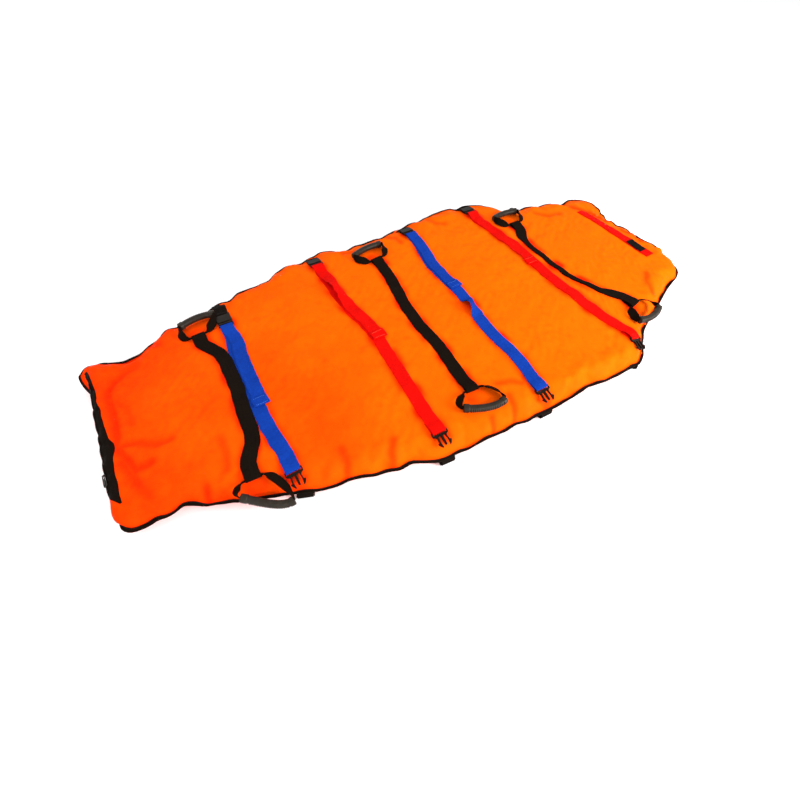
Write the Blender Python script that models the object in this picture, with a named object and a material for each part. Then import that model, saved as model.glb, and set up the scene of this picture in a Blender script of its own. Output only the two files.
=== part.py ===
"""A rescue vacuum mattress, laid out flat and filled.

X runs from the foot end to the head end, Y across from the near side to the far
side, Z up. The mattress rests on z = 0 with the middle of its plan at the origin.
All sizes are in metres.
"""
import bpy
import bmesh
from math import atan2, cos, pi, radians, sin, sqrt
from mathutils import Matrix, Vector
import numpy as np

# Plan of the mattress: lengths of its stretches, then half-widths where they meet
ANKLE_LENGTH = 0.12
CALF_LENGTH = 0.20
THIGH_LENGTH = 0.48
BELLY_LENGTH = 0.35
CHEST_LENGTH = 0.34
SHOULDER_LENGTH = 0.13
HEAD_LENGTH = 0.38
FOOT_HALF = 0.292
ANKLE_HALF = 0.268
KNEE_HALF = 0.345
HIP_HALF = 0.466
BELLY_HALF = 0.474
CHEST_HALF = 0.485
NECK_HALF = 0.388
HEAD_HALF = 0.262
FOOT_CORNER = 0.045
HEAD_CORNER = 0.080
# How far both ends lie aside of the middle, as a limp mattress does
BOW = 0.035

# Section: seam, flange, walls and crown
SEAM_HEIGHT = 0.035
SIDE_TOP = 0.074
CROWN = 0.007
CROWN_REACH = 0.32
FLANGE = 0.012
WALL_RUN = 0.070
UNDER_RUN = 0.088
UNDER_CURVE = 1.2
COVER_THICK = 0.001
BLADDER_THICK = 0.0008
BLADDER_INSET = 0.007
BEAD_INSET = 0.0105

# Gaps
TOUCH = 0.0003
LIE_GAP = 0.0008
LAYER_GAP = 0.0005
RUNNING = 0.0004

# Edge binding and the foot zip
BINDING_LEG = 0.009
BINDING_THICK = 0.0012
ZIP_NEAR = -0.165
ZIP_FAR = 0.215
ZIP_TAPE = 0.028
ZIP_TAPE_THICK = 0.0012
ZIP_FROM_EDGE = 0.020
COIL_WIDTH = 0.006
COIL_RISE = 0.0018
SLIDER_LENGTH = 0.016
SLIDER_WIDTH = 0.011
SLIDER_HEIGHT = 0.0055
PULL_LENGTH = 0.030
PULL_THICK = 0.0014

# Webbing
WEBBING = 0.040
WEB_THICK = 0.0018
RETURN_LENGTH = 0.038
RISE_LENGTH = 0.030
BAR_LEAD = 0.008
STRAIGHT_LEAD = 0.030
RUN_TOLERANCE = 0.00025
HEM_LENGTH = 0.030
HEM_THICK = 0.0036
HEM_EXTRA = 0.005

# Carry handles
HANDLE_WIDTH = 0.120
HANDLE_DEPTH = 0.068
LOOP_REAR = 0.0050
LOOP_THICK = 0.0030
LOOP_TALL = 0.018
LOOP_IN_GRIP = 0.012
LOOP_FOOT = 0.0035
GRIP_LENGTH = 0.104
GRIP_RADIUS = 0.0115
GRIP_GROOVE = 0.0013
GRIP_RIBS = 10
GRIP_BULGE = 0.012

# Side-release buckles
BUCKLE_HALF = 0.023
BAR_RADIUS = 0.0022
SLOT_HALF = 0.0206
CLIP_THICK = 0.0050
CLIP_SLOT = 0.0075
CLIP_BASE = 0.0140
PRONG_TIP = 0.0455
BARB_OUT = 0.0195
SOCKET_MOUTH = 0.0146
SOCKET_END = 0.0482
SOCKET_THICK = 0.0104
SOCKET_WALL = 0.0022
WINDOW_START = 0.0295
WINDOW_END = 0.0405
TAB_BAR = 0.0536
TAB_FROM_EDGE = 0.0107
TAB_FLAP = 0.015

UNDER_BAR_INSET = 0.0085
UNDER_LIFT = 0.001
TAB_DROP = 0.0022

# Valve in the far wall by the shoulder
VALVE_PAST_SHOULDER = 0.040
VALVE_HEIGHT = 0.0505
BOSS_RADIUS = 0.0130
BOSS_FACE = 0.0115
NECK_RADIUS = 0.0085
NECK_REACH = 0.061
BORE_RADIUS = 0.0055
SPOUT_RADIUS = 0.0080
SPOUT_LENGTH = 0.0050
CAP_RADIUS = 0.0120
CAP_THICK = 0.0022
CAP_LUGS = 8
NUT_RADIUS = 0.0104
NUT_THICK = 0.0045
NUT_FROM_END = 0.003
PLUNGER_RADIUS = 0.0050
PLUNGER_THICK = 0.0024
PLUNGER_DEPTH = 0.012
STEM_RADIUS = 0.0018
STEM_LENGTH = 0.020

# Head strap
HEAD_WEB = 0.026
HEAD_STRAP_FROM_HEAD = 0.175
HEAD_STRAP_FAR = 0.205
HEAD_STRAP_NEAR = -0.112
HEAD_STRAP_SLANT = 0.040
PATCH_LENGTH = 0.048
PATCH_THICK = 0.0022
PATCH_FROM_END = 0.028

# How finely the plan is drawn: spaces in each stretch, rows across, and the straight ends' reach
STRETCH_SPACES = (1, 2, 5, 3, 4, 3, 3)
ROWS = 6
END_MARGIN = 0.115
WALL_ANGLES = (20, 42, 65, 90)

STRETCHES = (ANKLE_LENGTH, CALF_LENGTH, THIGH_LENGTH, BELLY_LENGTH, CHEST_LENGTH,
             SHOULDER_LENGTH, HEAD_LENGTH)
HALVES = (FOOT_HALF, ANKLE_HALF, KNEE_HALF, HIP_HALF, BELLY_HALF, CHEST_HALF, NECK_HALF, HEAD_HALF)
LENGTH = sum(STRETCHES)
STATIONS = [-LENGTH / 2 + sum(STRETCHES[:i]) for i in range(len(HALVES))]
PANEL_SPLIT = TOUCH * 0.8
FLANGE_RISE = PANEL_SPLIT + COVER_THICK
LIE = LIE_GAP + WEB_THICK / 2
OVER = LIE + WEB_THICK + LAYER_GAP
BAR_WRAP = BAR_RADIUS + RUNNING + WEB_THICK / 2
LOOP_WRAP = LOOP_REAR * sqrt(2) / 2 + RUNNING + WEB_THICK / 2

# Carry straps, as (name, far end, near end, bends, folded middle). An end is its place along X as a
# share of the half length, its distance in from the edge in webbing widths, and its turn. A bend is
# (share of the way across, place along X).
CARRY_SETS = (
    ("foot", (-0.646, 3.20, 4.0), (-0.650, 1.20, -5.0), ((0.30, -0.618), (0.66, -0.625), (0.80, -0.640)),
     False),
    ("chest", (0.002, 3.875, 8.0), (-0.032, 3.50, -3.0), ((0.55, -0.030), (0.72, -0.024)), False),
    ("head", (0.572, 4.45, 2.0), (0.636, 1.85, 14.0),
     ((0.16, 0.545), (0.28, 0.536), (0.55, 0.544), (0.80, 0.584)), True),
)

# Patient straps, as (name, far x, far inset, near x, near inset, bends, tail share, tail shift), in
# the same shares and webbing widths
PATIENT_STRAPS = (
    ("blue_leg", -0.559, 3.75, -0.557, 1.35, ((0.30, -0.572), (0.55, -0.574), (0.80, -0.567)),
     0.56, 0.150),
    ("red_hip", -0.197, 2.15, -0.184, 1.65, ((0.25, -0.196), (0.52, -0.171), (0.75, -0.178)),
     0.53, 0.175),
    ("blue_belly", 0.184, 2.15, 0.146, 1.45,
     ((0.28, 0.160), (0.50, 0.164), (0.70, 0.149), (0.85, 0.157)), 0.42, 0.150),
    ("red_chest", 0.468, 2.35, 0.530, 1.50,
     ((0.15, 0.476), (0.40, 0.489), (0.60, 0.489), (0.85, 0.503)), 0.43, -0.125),
)
COLOURS = {
    "orange": (0.95, 0.14, 0.004),
    "blue": (0.01, 0.06, 0.42),
    "red": (0.80, 0.012, 0.004),
    "black": (0.012, 0.009, 0.007),
    "grip": (0.035, 0.030, 0.024),
    "plastic": (0.010, 0.009, 0.008),
    "bladder": (0.20, 0.22, 0.24),
    "beads": (0.85, 0.85, 0.82),
    "metal": (0.55, 0.53, 0.50),
}


def material(name, colour, roughness, metallic=0.0):
    """A plain Principled material for one piece."""
    mat = bpy.data.materials.new(name + "_material")
    mat.use_nodes = True
    shader = mat.node_tree.nodes["Principled BSDF"]
    shader.inputs["Base Color"].default_value = (*COLOURS[colour], 1.0)
    shader.inputs["Roughness"].default_value = roughness
    shader.inputs["Metallic"].default_value = metallic
    return mat


def add_object(name, mesh, colour, roughness=0.6, metallic=0.0, smooth=True):
    """Link a mesh to the scene as a named piece with its own material."""
    obj = bpy.data.objects.new(name, mesh)
    bpy.context.collection.objects.link(obj)
    if not mesh.materials:
        mesh.materials.append(material(name, colour, roughness, metallic))
    if smooth:
        mesh.shade_smooth()
        mesh.set_sharp_from_angle(angle=radians(35))
    return obj


def mesh_from(bm, name):
    """Turn a bmesh into a mesh with its faces pointing out."""
    bm.normal_update()
    bmesh.ops.recalc_face_normals(bm, faces=bm.faces)
    if bm.calc_volume(signed=True) < 0:
        bmesh.ops.reverse_faces(bm, faces=bm.faces)
    mesh = bpy.data.meshes.new(name)
    bm.to_mesh(mesh)
    bm.free()
    return mesh


def smooth_step(t):
    """A smooth rise from 0 to 1."""
    t = min(max(t, 0.0), 1.0)
    return t * t * (3 - 2 * t)


def through_points(xs, ys, x):
    """A smooth curve through the points that never overshoots between them."""
    x = min(max(x, xs[0]), xs[-1])
    steps = [(ys[i + 1] - ys[i]) / (xs[i + 1] - xs[i]) for i in range(len(xs) - 1)]
    slopes = [steps[0]]
    for before, after in zip(steps, steps[1:]):
        slopes.append(0.0 if before * after <= 0 else 2 * before * after / (before + after))
    slopes.append(steps[-1])
    i = min(sum(x >= knot for knot in xs[1:]), len(xs) - 2)
    width = xs[i + 1] - xs[i]
    t = (x - xs[i]) / width
    return ((1 + 2 * t) * (1 - t) ** 2 * ys[i] + t * (1 - t) ** 2 * width * slopes[i]
            + t * t * (3 - 2 * t) * ys[i + 1] + t * t * (t - 1) * width * slopes[i + 1])


def centre_y(x):
    """Where the middle of the mattress lies at x: a slight bow, evened about y = 0."""
    return BOW * ((2 * x / LENGTH) ** 2 - 0.2)


def half_width(x):
    """The mattress's half-width at x, before its corners are rounded."""
    return through_points(STATIONS, HALVES, x)


def middle_stations():
    """Stations along X between the rounded ends, closer where the plan turns faster."""
    low = -LENGTH / 2 + END_MARGIN
    high = LENGTH / 2 - END_MARGIN
    marks = [low] + STATIONS[1:-1] + [high]
    stations = [low]
    for start, end, spaces in zip(marks, marks[1:], STRETCH_SPACES):
        stations += [start + (end - start) * i / spaces for i in range(1, spaces + 1)]
    return stations


def side_stations(inset):
    """Stations along X for an outline drawn in by inset, with its half-widths."""
    foot = max(FOOT_CORNER - inset, 0.006)
    head = max(HEAD_CORNER - inset, 0.006)
    turns = [pi / 2 * i / 3 for i in range(4)]
    stations = []
    for turn in turns:
        x = -LENGTH / 2 + inset + foot * (1 - cos(turn))
        stations.append((x, half_width(x) - inset - foot * (1 - sin(turn))))
    for x in middle_stations():
        slope = (half_width(x + 0.005) - half_width(x - 0.005)) / 0.01
        stations.append((x, half_width(x) - inset * sqrt(1 + slope * slope)))
    for turn in reversed(turns):
        x = LENGTH / 2 - inset - head * (1 - cos(turn))
        stations.append((x, half_width(x) - inset - head * (1 - sin(turn))))
    return stations


def outline(inset=0.0):
    """The plan's closed outline, drawn in by inset, anticlockwise from the near foot corner."""
    sides = side_stations(inset)
    near = [(x, centre_y(x) - half) for x, half in sides]
    far = [(x, centre_y(x) + half) for x, half in sides]
    head = [tuple(np.add(near[-1], np.subtract(far[-1], near[-1]) * i / ROWS)) for i in range(1, ROWS)]
    foot = [tuple(np.add(far[0], np.subtract(near[0], far[0]) * i / ROWS)) for i in range(1, ROWS)]
    return near + head + far[::-1] + foot


OUTLINE = np.array(outline())


def edge_distance(x, y):
    """How far a plan point lies from the outline, 0 outside it."""
    start = OUTLINE
    run = np.roll(start, -1, axis=0) - start
    to_point = np.array((x, y)) - start
    along = np.clip((to_point * run).sum(1) / (run * run).sum(1), 0, 1)
    gap = to_point - run * along[:, None]
    return float(np.sqrt((gap * gap).sum(1).min()))


def top_height(distance):
    """Height of the cover's top at a distance in from the edge."""
    base = SEAM_HEIGHT + FLANGE_RISE
    inside = distance - FLANGE
    if inside <= 0:
        return base
    lean = 1 - min(inside / WALL_RUN, 1)
    wall = (SIDE_TOP - base) * sqrt(1 - lean * lean)
    return base + wall + crown(inside)


def crown(inside):
    """Rise of the top over its walls at a distance in from their foot."""
    return CROWN * (1 - (1 - min(inside / CROWN_REACH, 1)) ** 2)


def surface(x, y):
    """A point of the cover's top and its outward normal there."""
    step = 0.001
    here = top_height(edge_distance(x, y))
    slope_x = (top_height(edge_distance(x + step, y)) - top_height(edge_distance(x - step, y))) / (2 * step)
    slope_y = (top_height(edge_distance(x, y + step)) - top_height(edge_distance(x, y - step))) / (2 * step)
    return Vector((x, y, here)), Vector((-slope_x, -slope_y, 1)).normalized()


def edge_y(x, side):
    """The outline's Y at x on the far side (side 1) or the near side (side -1)."""
    return centre_y(x) + side * half_width(x)


def edge_directions(x, side):
    """The edge's own direction at x, towards +X, and the outward one."""
    step = 0.01
    along = Vector((2 * step, edge_y(x + step, side) - edge_y(x - step, side), 0)).normalized()
    return along, Vector((-along.y, along.x, 0)) * side


def ring_faces(bm, rings, closed=False):
    """Join rings of vertices, each to the next, with quads."""
    pairs = list(zip(rings, rings[1:]))
    if closed:
        pairs.append((rings[-1], rings[0]))
    for low, high in pairs:
        for i in range(len(low)):
            j = (i + 1) % len(low)
            bm.faces.new((low[i], low[j], high[j], high[i]))


def fill_crown(bm, ring, height):
    """Fill the inner ring of a top with a grid that follows the crown."""
    count = len(middle_stations()) + 8
    near = ring[:count]
    head = ring[count:count + ROWS - 1]
    far = ring[count + ROWS - 1:2 * count + ROWS - 1][::-1]
    foot = ring[2 * count + ROWS - 1:][::-1]
    columns = [[near[0], *foot, far[0]]]
    for i in range(1, count - 1):
        column = [near[i]]
        for j in range(1, ROWS):
            point = near[i].co.lerp(far[i].co, j / ROWS)
            point.z = height(edge_distance(point.x, point.y))
            column.append(bm.verts.new(point))
        columns.append(column + [far[i]])
    columns.append([near[-1], *head, far[-1]])
    for left, right in zip(columns, columns[1:]):
        for j in range(ROWS):
            bm.faces.new((left[j], right[j], right[j + 1], left[j + 1]))


def panel_ring(bm, inset, height, lift=0.0):
    """One ring of vertices at a distance in from the edge, at height(distance from the edge)."""
    return [bm.verts.new((x, y, height(edge_distance(x, y)) + lift)) for x, y in outline(inset)]


def solidify(obj, thickness):
    """Give a sheet or a closed skin its thickness, inwards."""
    shell = obj.modifiers.new("thickness", "SOLIDIFY")
    shell.thickness = thickness
    shell.offset = -1
    shell.use_even_offset = True
    apply_modifiers(obj)


def apply_modifiers(obj):
    """Replace a piece's mesh by its evaluated one."""
    graph = bpy.context.evaluated_depsgraph_get()
    mesh = bpy.data.meshes.new_from_object(obj.evaluated_get(graph))
    obj.modifiers.clear()
    obj.data = mesh


def boolean(obj, other, operation):
    """Cut, join or intersect obj with another mesh object, which is then removed."""
    tool = obj.modifiers.new(operation.lower(), "BOOLEAN")
    tool.operation = operation
    tool.object = other
    tool.solver = "EXACT"
    apply_modifiers(obj)
    bpy.data.objects.remove(other)


def top_panel(bm, grow=0.0):
    """The top panel's open surface, or one that stands off it by about grow."""
    insets = [FLANGE + WALL_RUN * (1 - cos(radians(a))) - grow for a in WALL_ANGLES]
    base = SEAM_HEIGHT + FLANGE_RISE
    rings = [panel_ring(bm, inset, lambda d: base, grow) for inset in (-grow, FLANGE - grow)]
    rings += [panel_ring(bm, inset, lambda d: top_height(d + grow), grow) for inset in insets]
    ring_faces(bm, rings)
    fill_crown(bm, rings[-1], lambda d: top_height(d) + grow)
    return rings[0]


def cover_top():
    """The top panel: flange, rounded walls and crown."""
    bm = bmesh.new()
    top_panel(bm)
    obj = add_object("cover_top", mesh_from(bm, "cover_top"), "orange", 0.45)
    if sum(face.normal.z for face in obj.data.polygons) < 0:
        obj.data.flip_normals()
    solidify(obj, COVER_THICK)
    return obj


def above_cover(grow):
    """A closed solid that fills the mattress and stands off its top by about grow."""
    bm = bmesh.new()
    rim = top_panel(bm, grow)
    floor = [bm.verts.new((vert.co.x, vert.co.y, 0)) for vert in rim]
    ring_faces(bm, [floor, rim])
    bm.faces.new(floor)
    obj = bpy.data.objects.new("above_cover", mesh_from(bm, "above_cover"))
    bpy.context.collection.objects.link(obj)
    return obj


def under_shape(inset, share):
    """Distance in from the edge, and height, of the underside at a share of its run."""
    distance = FLANGE + inset + (UNDER_RUN - inset) * share
    base = SEAM_HEIGHT - FLANGE_RISE if inset == 0 else SEAM_HEIGHT
    return distance, inset + (base - inset) * (1 - share) ** UNDER_CURVE


def cover_bottom():
    """The bottom panel: flange, sloping underside and the flat it rests on."""
    bm = bmesh.new()
    shapes = [(0.0, SEAM_HEIGHT - FLANGE_RISE)] + [under_shape(0.0, t) for t in (0.0, 0.33, 0.66, 1.0)]
    rings = [panel_ring(bm, d, lambda _, z=z: z) for d, z in shapes]
    ring_faces(bm, rings)
    bm.faces.new(rings[-1])
    obj = add_object("cover_bottom", mesh_from(bm, "cover_bottom"), "orange", 0.45)
    if sum(face.normal.z * face.area for face in obj.data.polygons) > 0:
        obj.data.flip_normals()
    solidify(obj, COVER_THICK)
    return obj


def pillow(inset):
    """A closed pillow inside the cover, everywhere at least about inset from its skin."""
    base = SEAM_HEIGHT
    wall = WALL_RUN - inset

    def height(distance):
        inside = distance - FLANGE - inset
        lean = 1 - min(max(inside, 0) / wall, 1)
        return base + (SIDE_TOP - inset - base) * sqrt(1 - lean * lean) + crown(max(inside, 0))

    bm = bmesh.new()
    rings = []
    for share in (1.0, 0.5):
        distance, z = under_shape(inset, share)
        rings.append(panel_ring(bm, distance, lambda _, z=z: z))
    rings.append(panel_ring(bm, FLANGE + inset, lambda _: base))
    for angle in (40, 90):
        rings.append(panel_ring(bm, FLANGE + inset + wall * (1 - cos(radians(angle))), height))
    bm.faces.new(rings[0][::-1])
    ring_faces(bm, rings)
    fill_crown(bm, rings[-1], height)
    return mesh_from(bm, "pillow")


def cylinder(name, centre, axis, radius, length, sides=24):
    """A closed cylinder from centre along axis."""
    bm = bmesh.new()
    bmesh.ops.create_cone(bm, cap_ends=True, segments=sides, radius1=radius, radius2=radius, depth=length)
    turn = Vector(axis).to_track_quat("Z", "Y").to_matrix().to_4x4()
    shift = Matrix.Translation(Vector(centre) + Vector(axis) * (length / 2))
    bm.transform(shift @ turn)
    mesh = mesh_from(bm, name)
    obj = bpy.data.objects.new(name, mesh)
    bpy.context.collection.objects.link(obj)
    return obj


def edge_binding():
    """A folded tape round the whole edge, closed over both flanges."""
    slot = FLANGE_RISE + TOUCH
    tall = slot + BINDING_THICK
    inner = RUNNING
    outer = RUNNING + BINDING_THICK
    section = ((-BINDING_LEG, tall), (outer, tall), (outer, -tall), (-BINDING_LEG, -tall),
               (-BINDING_LEG, -slot), (inner, -slot), (inner, slot), (-BINDING_LEG, slot))
    bm = bmesh.new()
    rings = []
    points = [Vector((x, y, 0)) for x, y in outline()]
    for i, point in enumerate(points):
        before = (point - points[i - 1]).normalized()
        after = (points[(i + 1) % len(points)] - point).normalized()
        out = Vector(((before + after).y, -(before + after).x, 0)).normalized()
        spread = 1 / max(sqrt((1 + before.dot(after)) / 2), 0.7)
        ring = [bm.verts.new(point + out * (u * spread) + Vector((0, 0, SEAM_HEIGHT + w)))
                for u, w in section]
        rings.append(ring)
    ring_faces(bm, rings, closed=True)
    return add_object("edge_binding", mesh_from(bm, "edge_binding"), "black", 0.7)


def wall_frame(distance):
    """Point and normal of the foot wall's section, as (distance in, height) pairs."""
    step = 0.0005
    slope = (top_height(distance + step) - top_height(distance - step)) / (2 * step)
    length = sqrt(1 + slope * slope)
    return (distance, top_height(distance)), (-slope / length, 1 / length)


def foot_zip():
    """Zip tape with its raised coil, lying on the wall of the foot end."""
    middle = ZIP_FROM_EDGE + ZIP_TAPE / 2
    half_coil = COIL_WIDTH / 2
    lower = [ZIP_FROM_EDGE + ZIP_TAPE * i / 6 for i in range(7)]
    upper = [(ZIP_FROM_EDGE, 0), (middle - half_coil - 0.006, 0), (middle - half_coil, 0),
             (middle - half_coil * 0.8, COIL_RISE), (middle + half_coil * 0.8, COIL_RISE),
             (middle + half_coil, 0), (middle + half_coil + 0.006, 0), (ZIP_FROM_EDGE + ZIP_TAPE, 0)]
    section = []
    for distance in lower:
        (d, z), (nd, nz) = wall_frame(distance)
        section.append((d + nd * LIE_GAP, z + nz * LIE_GAP))
    for distance, rise in reversed(upper):
        (d, z), (nd, nz) = wall_frame(distance)
        lift = LIE_GAP + ZIP_TAPE_THICK + rise
        section.append((d + nd * lift, z + nz * lift))
    bm = bmesh.new()
    ends = [[bm.verts.new((-LENGTH / 2 + d, y, z)) for d, z in section] for y in (ZIP_NEAR, ZIP_FAR)]
    ring_faces(bm, ends)
    bm.faces.new(ends[0])
    bm.faces.new(ends[1][::-1])
    return add_object("foot_zip", mesh_from(bm, "foot_zip"), "black", 0.7)


def box(name, low, high, place=None):
    """A closed box between two corners, turned and moved by a matrix."""
    bm = bmesh.new()
    bmesh.ops.create_cube(bm, size=1.0)
    size = Vector(high) - Vector(low)
    centre = (Vector(high) + Vector(low)) / 2
    bm.transform(Matrix.Translation(centre) @ Matrix.Diagonal((*size, 1)))
    if place:
        bm.transform(place)
    obj = bpy.data.objects.new(name, mesh_from(bm, name))
    bpy.context.collection.objects.link(obj)
    return obj


def bevel(obj, width, segments=1):
    """Round the piece's sharp edges."""
    edge = obj.modifiers.new("edges", "BEVEL")
    edge.width = width
    edge.segments = segments
    edge.limit_method = "ANGLE"
    edge.angle_limit = radians(40)
    apply_modifiers(obj)


def zip_slider():
    """The slider that straddles the coil, with its pull lying on it."""
    (d, z), (nd, nz) = wall_frame(ZIP_FROM_EDGE + ZIP_TAPE / 2)
    across = Vector((nz, 0, -nd))
    normal = Vector((nd, 0, nz))
    lift = LIE_GAP + ZIP_TAPE_THICK + RUNNING + ZIP_TAPE_THICK / 4
    origin = Vector((-LENGTH / 2 + d, ZIP_NEAR + SLIDER_LENGTH, z)) + normal * lift
    place = Matrix((across, (0, 1, 0), normal)).transposed().to_4x4()
    place.translation = origin
    half = SLIDER_WIDTH / 2
    body = box("zip_slider", (-half, 0, 0), (half, SLIDER_LENGTH, SLIDER_HEIGHT))
    bevel(body, 0.0012)
    groove = COIL_WIDTH / 2 + RUNNING
    boolean(body, box("groove", (-groove, -1, -1), (groove, 1, COIL_RISE + RUNNING)), "DIFFERENCE")
    pull = box("pull", (-0.0035, 0.004, SLIDER_HEIGHT - 0.0004),
               (0.0035, 0.004 + PULL_LENGTH, SLIDER_HEIGHT + PULL_THICK))
    hole = box("hole", (-0.0018, 0.022, 0), (0.0018, 0.030, 0.02))
    boolean(pull, hole, "DIFFERENCE")
    boolean(body, pull, "UNION")
    body.data.transform(place)
    body.data.materials.append(material("zip_slider", "metal", 0.35, 0.9))
    return body


def ribbon(name, path, colour, widths=None, thicks=None):
    """Flat webbing swept along a path of (point, width direction)."""
    count = len(path)
    widths = widths or [WEBBING] * count
    thicks = thicks or [WEB_THICK] * count
    bm = bmesh.new()
    rings = []
    for i, (point, side) in enumerate(path):
        ahead = path[min(i + 1, count - 1)][0] - path[max(i - 1, 0)][0]
        up = side.cross(ahead).normalized()
        half = widths[i] / 2
        thick = thicks[i] / 2
        corners = ((-half, -thick), (half, -thick), (half, thick), (-half, thick))
        rings.append([bm.verts.new(point + side * u + up * w) for u, w in corners])
    ring_faces(bm, rings)
    bm.faces.new(rings[0])
    bm.faces.new(rings[-1][::-1])
    return add_object(name, mesh_from(bm, name), colour, 0.75)


class Bar:
    """A crosswise bar on the mattress: its centre, outward direction, normal and axis."""

    def __init__(self, x, y, side, wrap, turn=0.0, reach=0.0, half_thick=0.0):
        point, normal = surface(x, y)
        out = Matrix.Rotation(radians(turn), 3, "Z") @ Vector((0, side, 0))
        if reach:
            out = surface(x, y + side * reach)[0] - point
            normal = out.cross(Vector((-side, 0, 0))).normalized()
        self.out = (out - normal * out.dot(normal)).normalized()
        self.normal = normal
        self.axis = self.out.cross(normal).normalized()
        self.wrap = wrap
        under = [surface(x, y + side * reach * i / 8)[0] - point for i in range(9)]
        bulge = max(step.dot(normal) for step in under)
        self.height = max(LIE + wrap, LIE_GAP + half_thick + bulge)
        self.centre = point + normal * self.height
        self.x, self.y, self.side = x, y, side

    def matrix(self):
        """Places a piece drawn with u outward, v along the bar and w up."""
        place = Matrix((self.out, self.axis, self.normal)).transposed().to_4x4()
        place.translation = self.centre
        return place

    def around(self, from_top):
        """Points of the webbing's middle round the bar's outward side."""
        angles = [90 - 30 * i for i in range(7)]
        if not from_top:
            angles = angles[::-1]
        side = self.axis * self.side
        return [(self.centre + self.out * (self.wrap * cos(radians(a)))
                 + self.normal * (self.wrap * sin(radians(a))), side) for a in angles]


def edge_bar(place, inset, side, wrap, turn=0.0, reach=0.0, half_thick=0.0):
    """A bar at a share of the half length and so many webbing widths in from the edge."""
    x = place * LENGTH / 2
    y = edge_y(x, side) - side * inset * WEBBING
    return Bar(x, y, side, wrap, turn, reach, half_thick)


class Way:
    """The line that a strap follows over the top, from its far bar (share 0) to its near one."""

    def __init__(self, far, near, bends):
        self.far, self.near = far, near
        self.span = abs(far.y - near.y)
        straight = STRAIGHT_LEAD / self.span
        turns = [(share, place * LENGTH / 2) for share, place in bends]
        places = [(0.0, far.x), (straight, far.x), *turns, (1 - straight, near.x), (1.0, near.x)]
        self.shares = [share for share, _ in places]
        self.places = [x for _, x in places]

    def point(self, share, level, shift=0.0):
        """A point of the strap's middle and its width direction."""
        step = 0.002
        x = through_points(self.shares, self.places, share) + shift
        ahead = through_points(self.shares, self.places, share + step)
        behind = through_points(self.shares, self.places, share - step)
        slope = (ahead - behind) / (2 * step * self.span)
        spot, normal = surface(x, self.far.y + (self.near.y - self.far.y) * share)
        side = Vector((1, slope, 0))
        side -= normal * side.dot(normal)
        return spot + normal * level, side.normalized()

    def run(self, start, end, level, shift=lambda s: 0.0):
        """Points from one share to another, as many as the run's shape needs."""
        count = max(int(abs(end - start) * self.span / 0.005), 2)
        shares = [start + (end - start) * i / count for i in range(count + 1)]
        return thinned([self.point(s, level(s), shift(s)) for s in shares])


def thinned(run):
    """Keep the points of a run that a straight line would miss by more than the tolerance."""
    first, last = run[0][0], run[-1][0]
    line = (last - first).normalized()
    misses = [((p - first) - line * (p - first).dot(line)).length for p, _ in run]
    worst = max(range(len(run)), key=misses.__getitem__)
    if misses[worst] < RUN_TOLERANCE:
        return [run[0], run[-1]]
    return thinned(run[:worst + 1])[:-1] + thinned(run[worst:])


def level_between(bar, low, distance):
    """Height of the layer that leaves the top of a bar, at a distance from the bar."""
    top = bar.height + bar.wrap
    return low + (top - low) * (1 - smooth_step((distance - BAR_LEAD) / RISE_LENGTH))


def level_under(bar, distance):
    """Height of the layer that leaves the bottom of a bar, at a distance from the bar."""
    bottom = bar.height - bar.wrap
    return LIE + (bottom - LIE) * (1 - smooth_step((distance - BAR_LEAD) / RISE_LENGTH))


def upper_level(bar, distance):
    """Height of the top layer: over the turned-back end by the bar, then down on the mattress."""
    low = LIE + (OVER - LIE) * smooth_step((RETURN_LENGTH + 0.025 - distance) / 0.020)
    return level_between(bar, low, distance)


def patient_strap(name, way, tail, tail_shift, colour):
    """One strap: hemmed tail, round the far bar, across, round the near bar and sewn back."""
    far, near, span = way.far, way.near, way.span
    lead = BAR_LEAD / span
    hem = tail - HEM_LENGTH / span

    def tail_level(share):
        return level_between(far, OVER, share * span)

    def hem_level(share):
        return OVER + (HEM_THICK - WEB_THICK) / 2

    def tail_offset(share):
        return tail_shift * smooth_step(share * span / 0.10)

    def main_level(share):
        if share > 0.5:
            return upper_level(near, (1 - share) * span)
        return level_under(far, share * span)

    def return_level(share):
        return level_under(near, (1 - share) * span)

    hemmed = way.run(tail, hem, hem_level, tail_offset)
    path = hemmed + way.run(hem - 0.002 / span, lead, tail_level, tail_offset)
    path += far.around(from_top=True)
    path += way.run(lead, 1 - lead, main_level)
    path += near.around(from_top=True)
    path += way.run(1 - lead, 1 - RETURN_LENGTH / span, return_level)
    plain = len(path) - len(hemmed)
    widths = [WEBBING + HEM_EXTRA] * len(hemmed) + [WEBBING] * plain
    thicks = [HEM_THICK] * len(hemmed) + [WEB_THICK] * plain
    return ribbon(name, path, colour, widths, thicks)


def carry_strap(name, way, folded):
    """A black strap across the mattress, turned back round a handle at each end."""
    far, near, span = way.far, way.near, way.span
    lead = BAR_LEAD / span
    back = RETURN_LENGTH / span

    def level(share):
        if share < 0.5:
            return upper_level(far, share * span)
        return upper_level(near, (1 - share) * span)

    path = way.run(back, lead, lambda s: level_under(far, s * span))
    path += far.around(from_top=False)
    path += way.run(lead, 1 - lead, level)
    path += near.around(from_top=True)
    path += way.run(1 - lead, 1 - back, lambda s: level_under(near, (1 - s) * span))
    widths = [WEBBING] * len(path)
    thicks = [WEB_THICK] * len(path)
    if folded:
        for i, (point, side) in enumerate(path):
            from_end = min(abs(point.y - far.y), abs(point.y - near.y))
            share = smooth_step((from_end - 0.07) / 0.06)
            widths[i] = WEBBING * (1 - 0.45 * share)
            thicks[i] = WEB_THICK * (1 + share)
            path[i] = (point + Vector((0, 0, WEB_THICK / 2 * share)), side)
    return ribbon(name, path, "black", widths, thicks)


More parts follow.
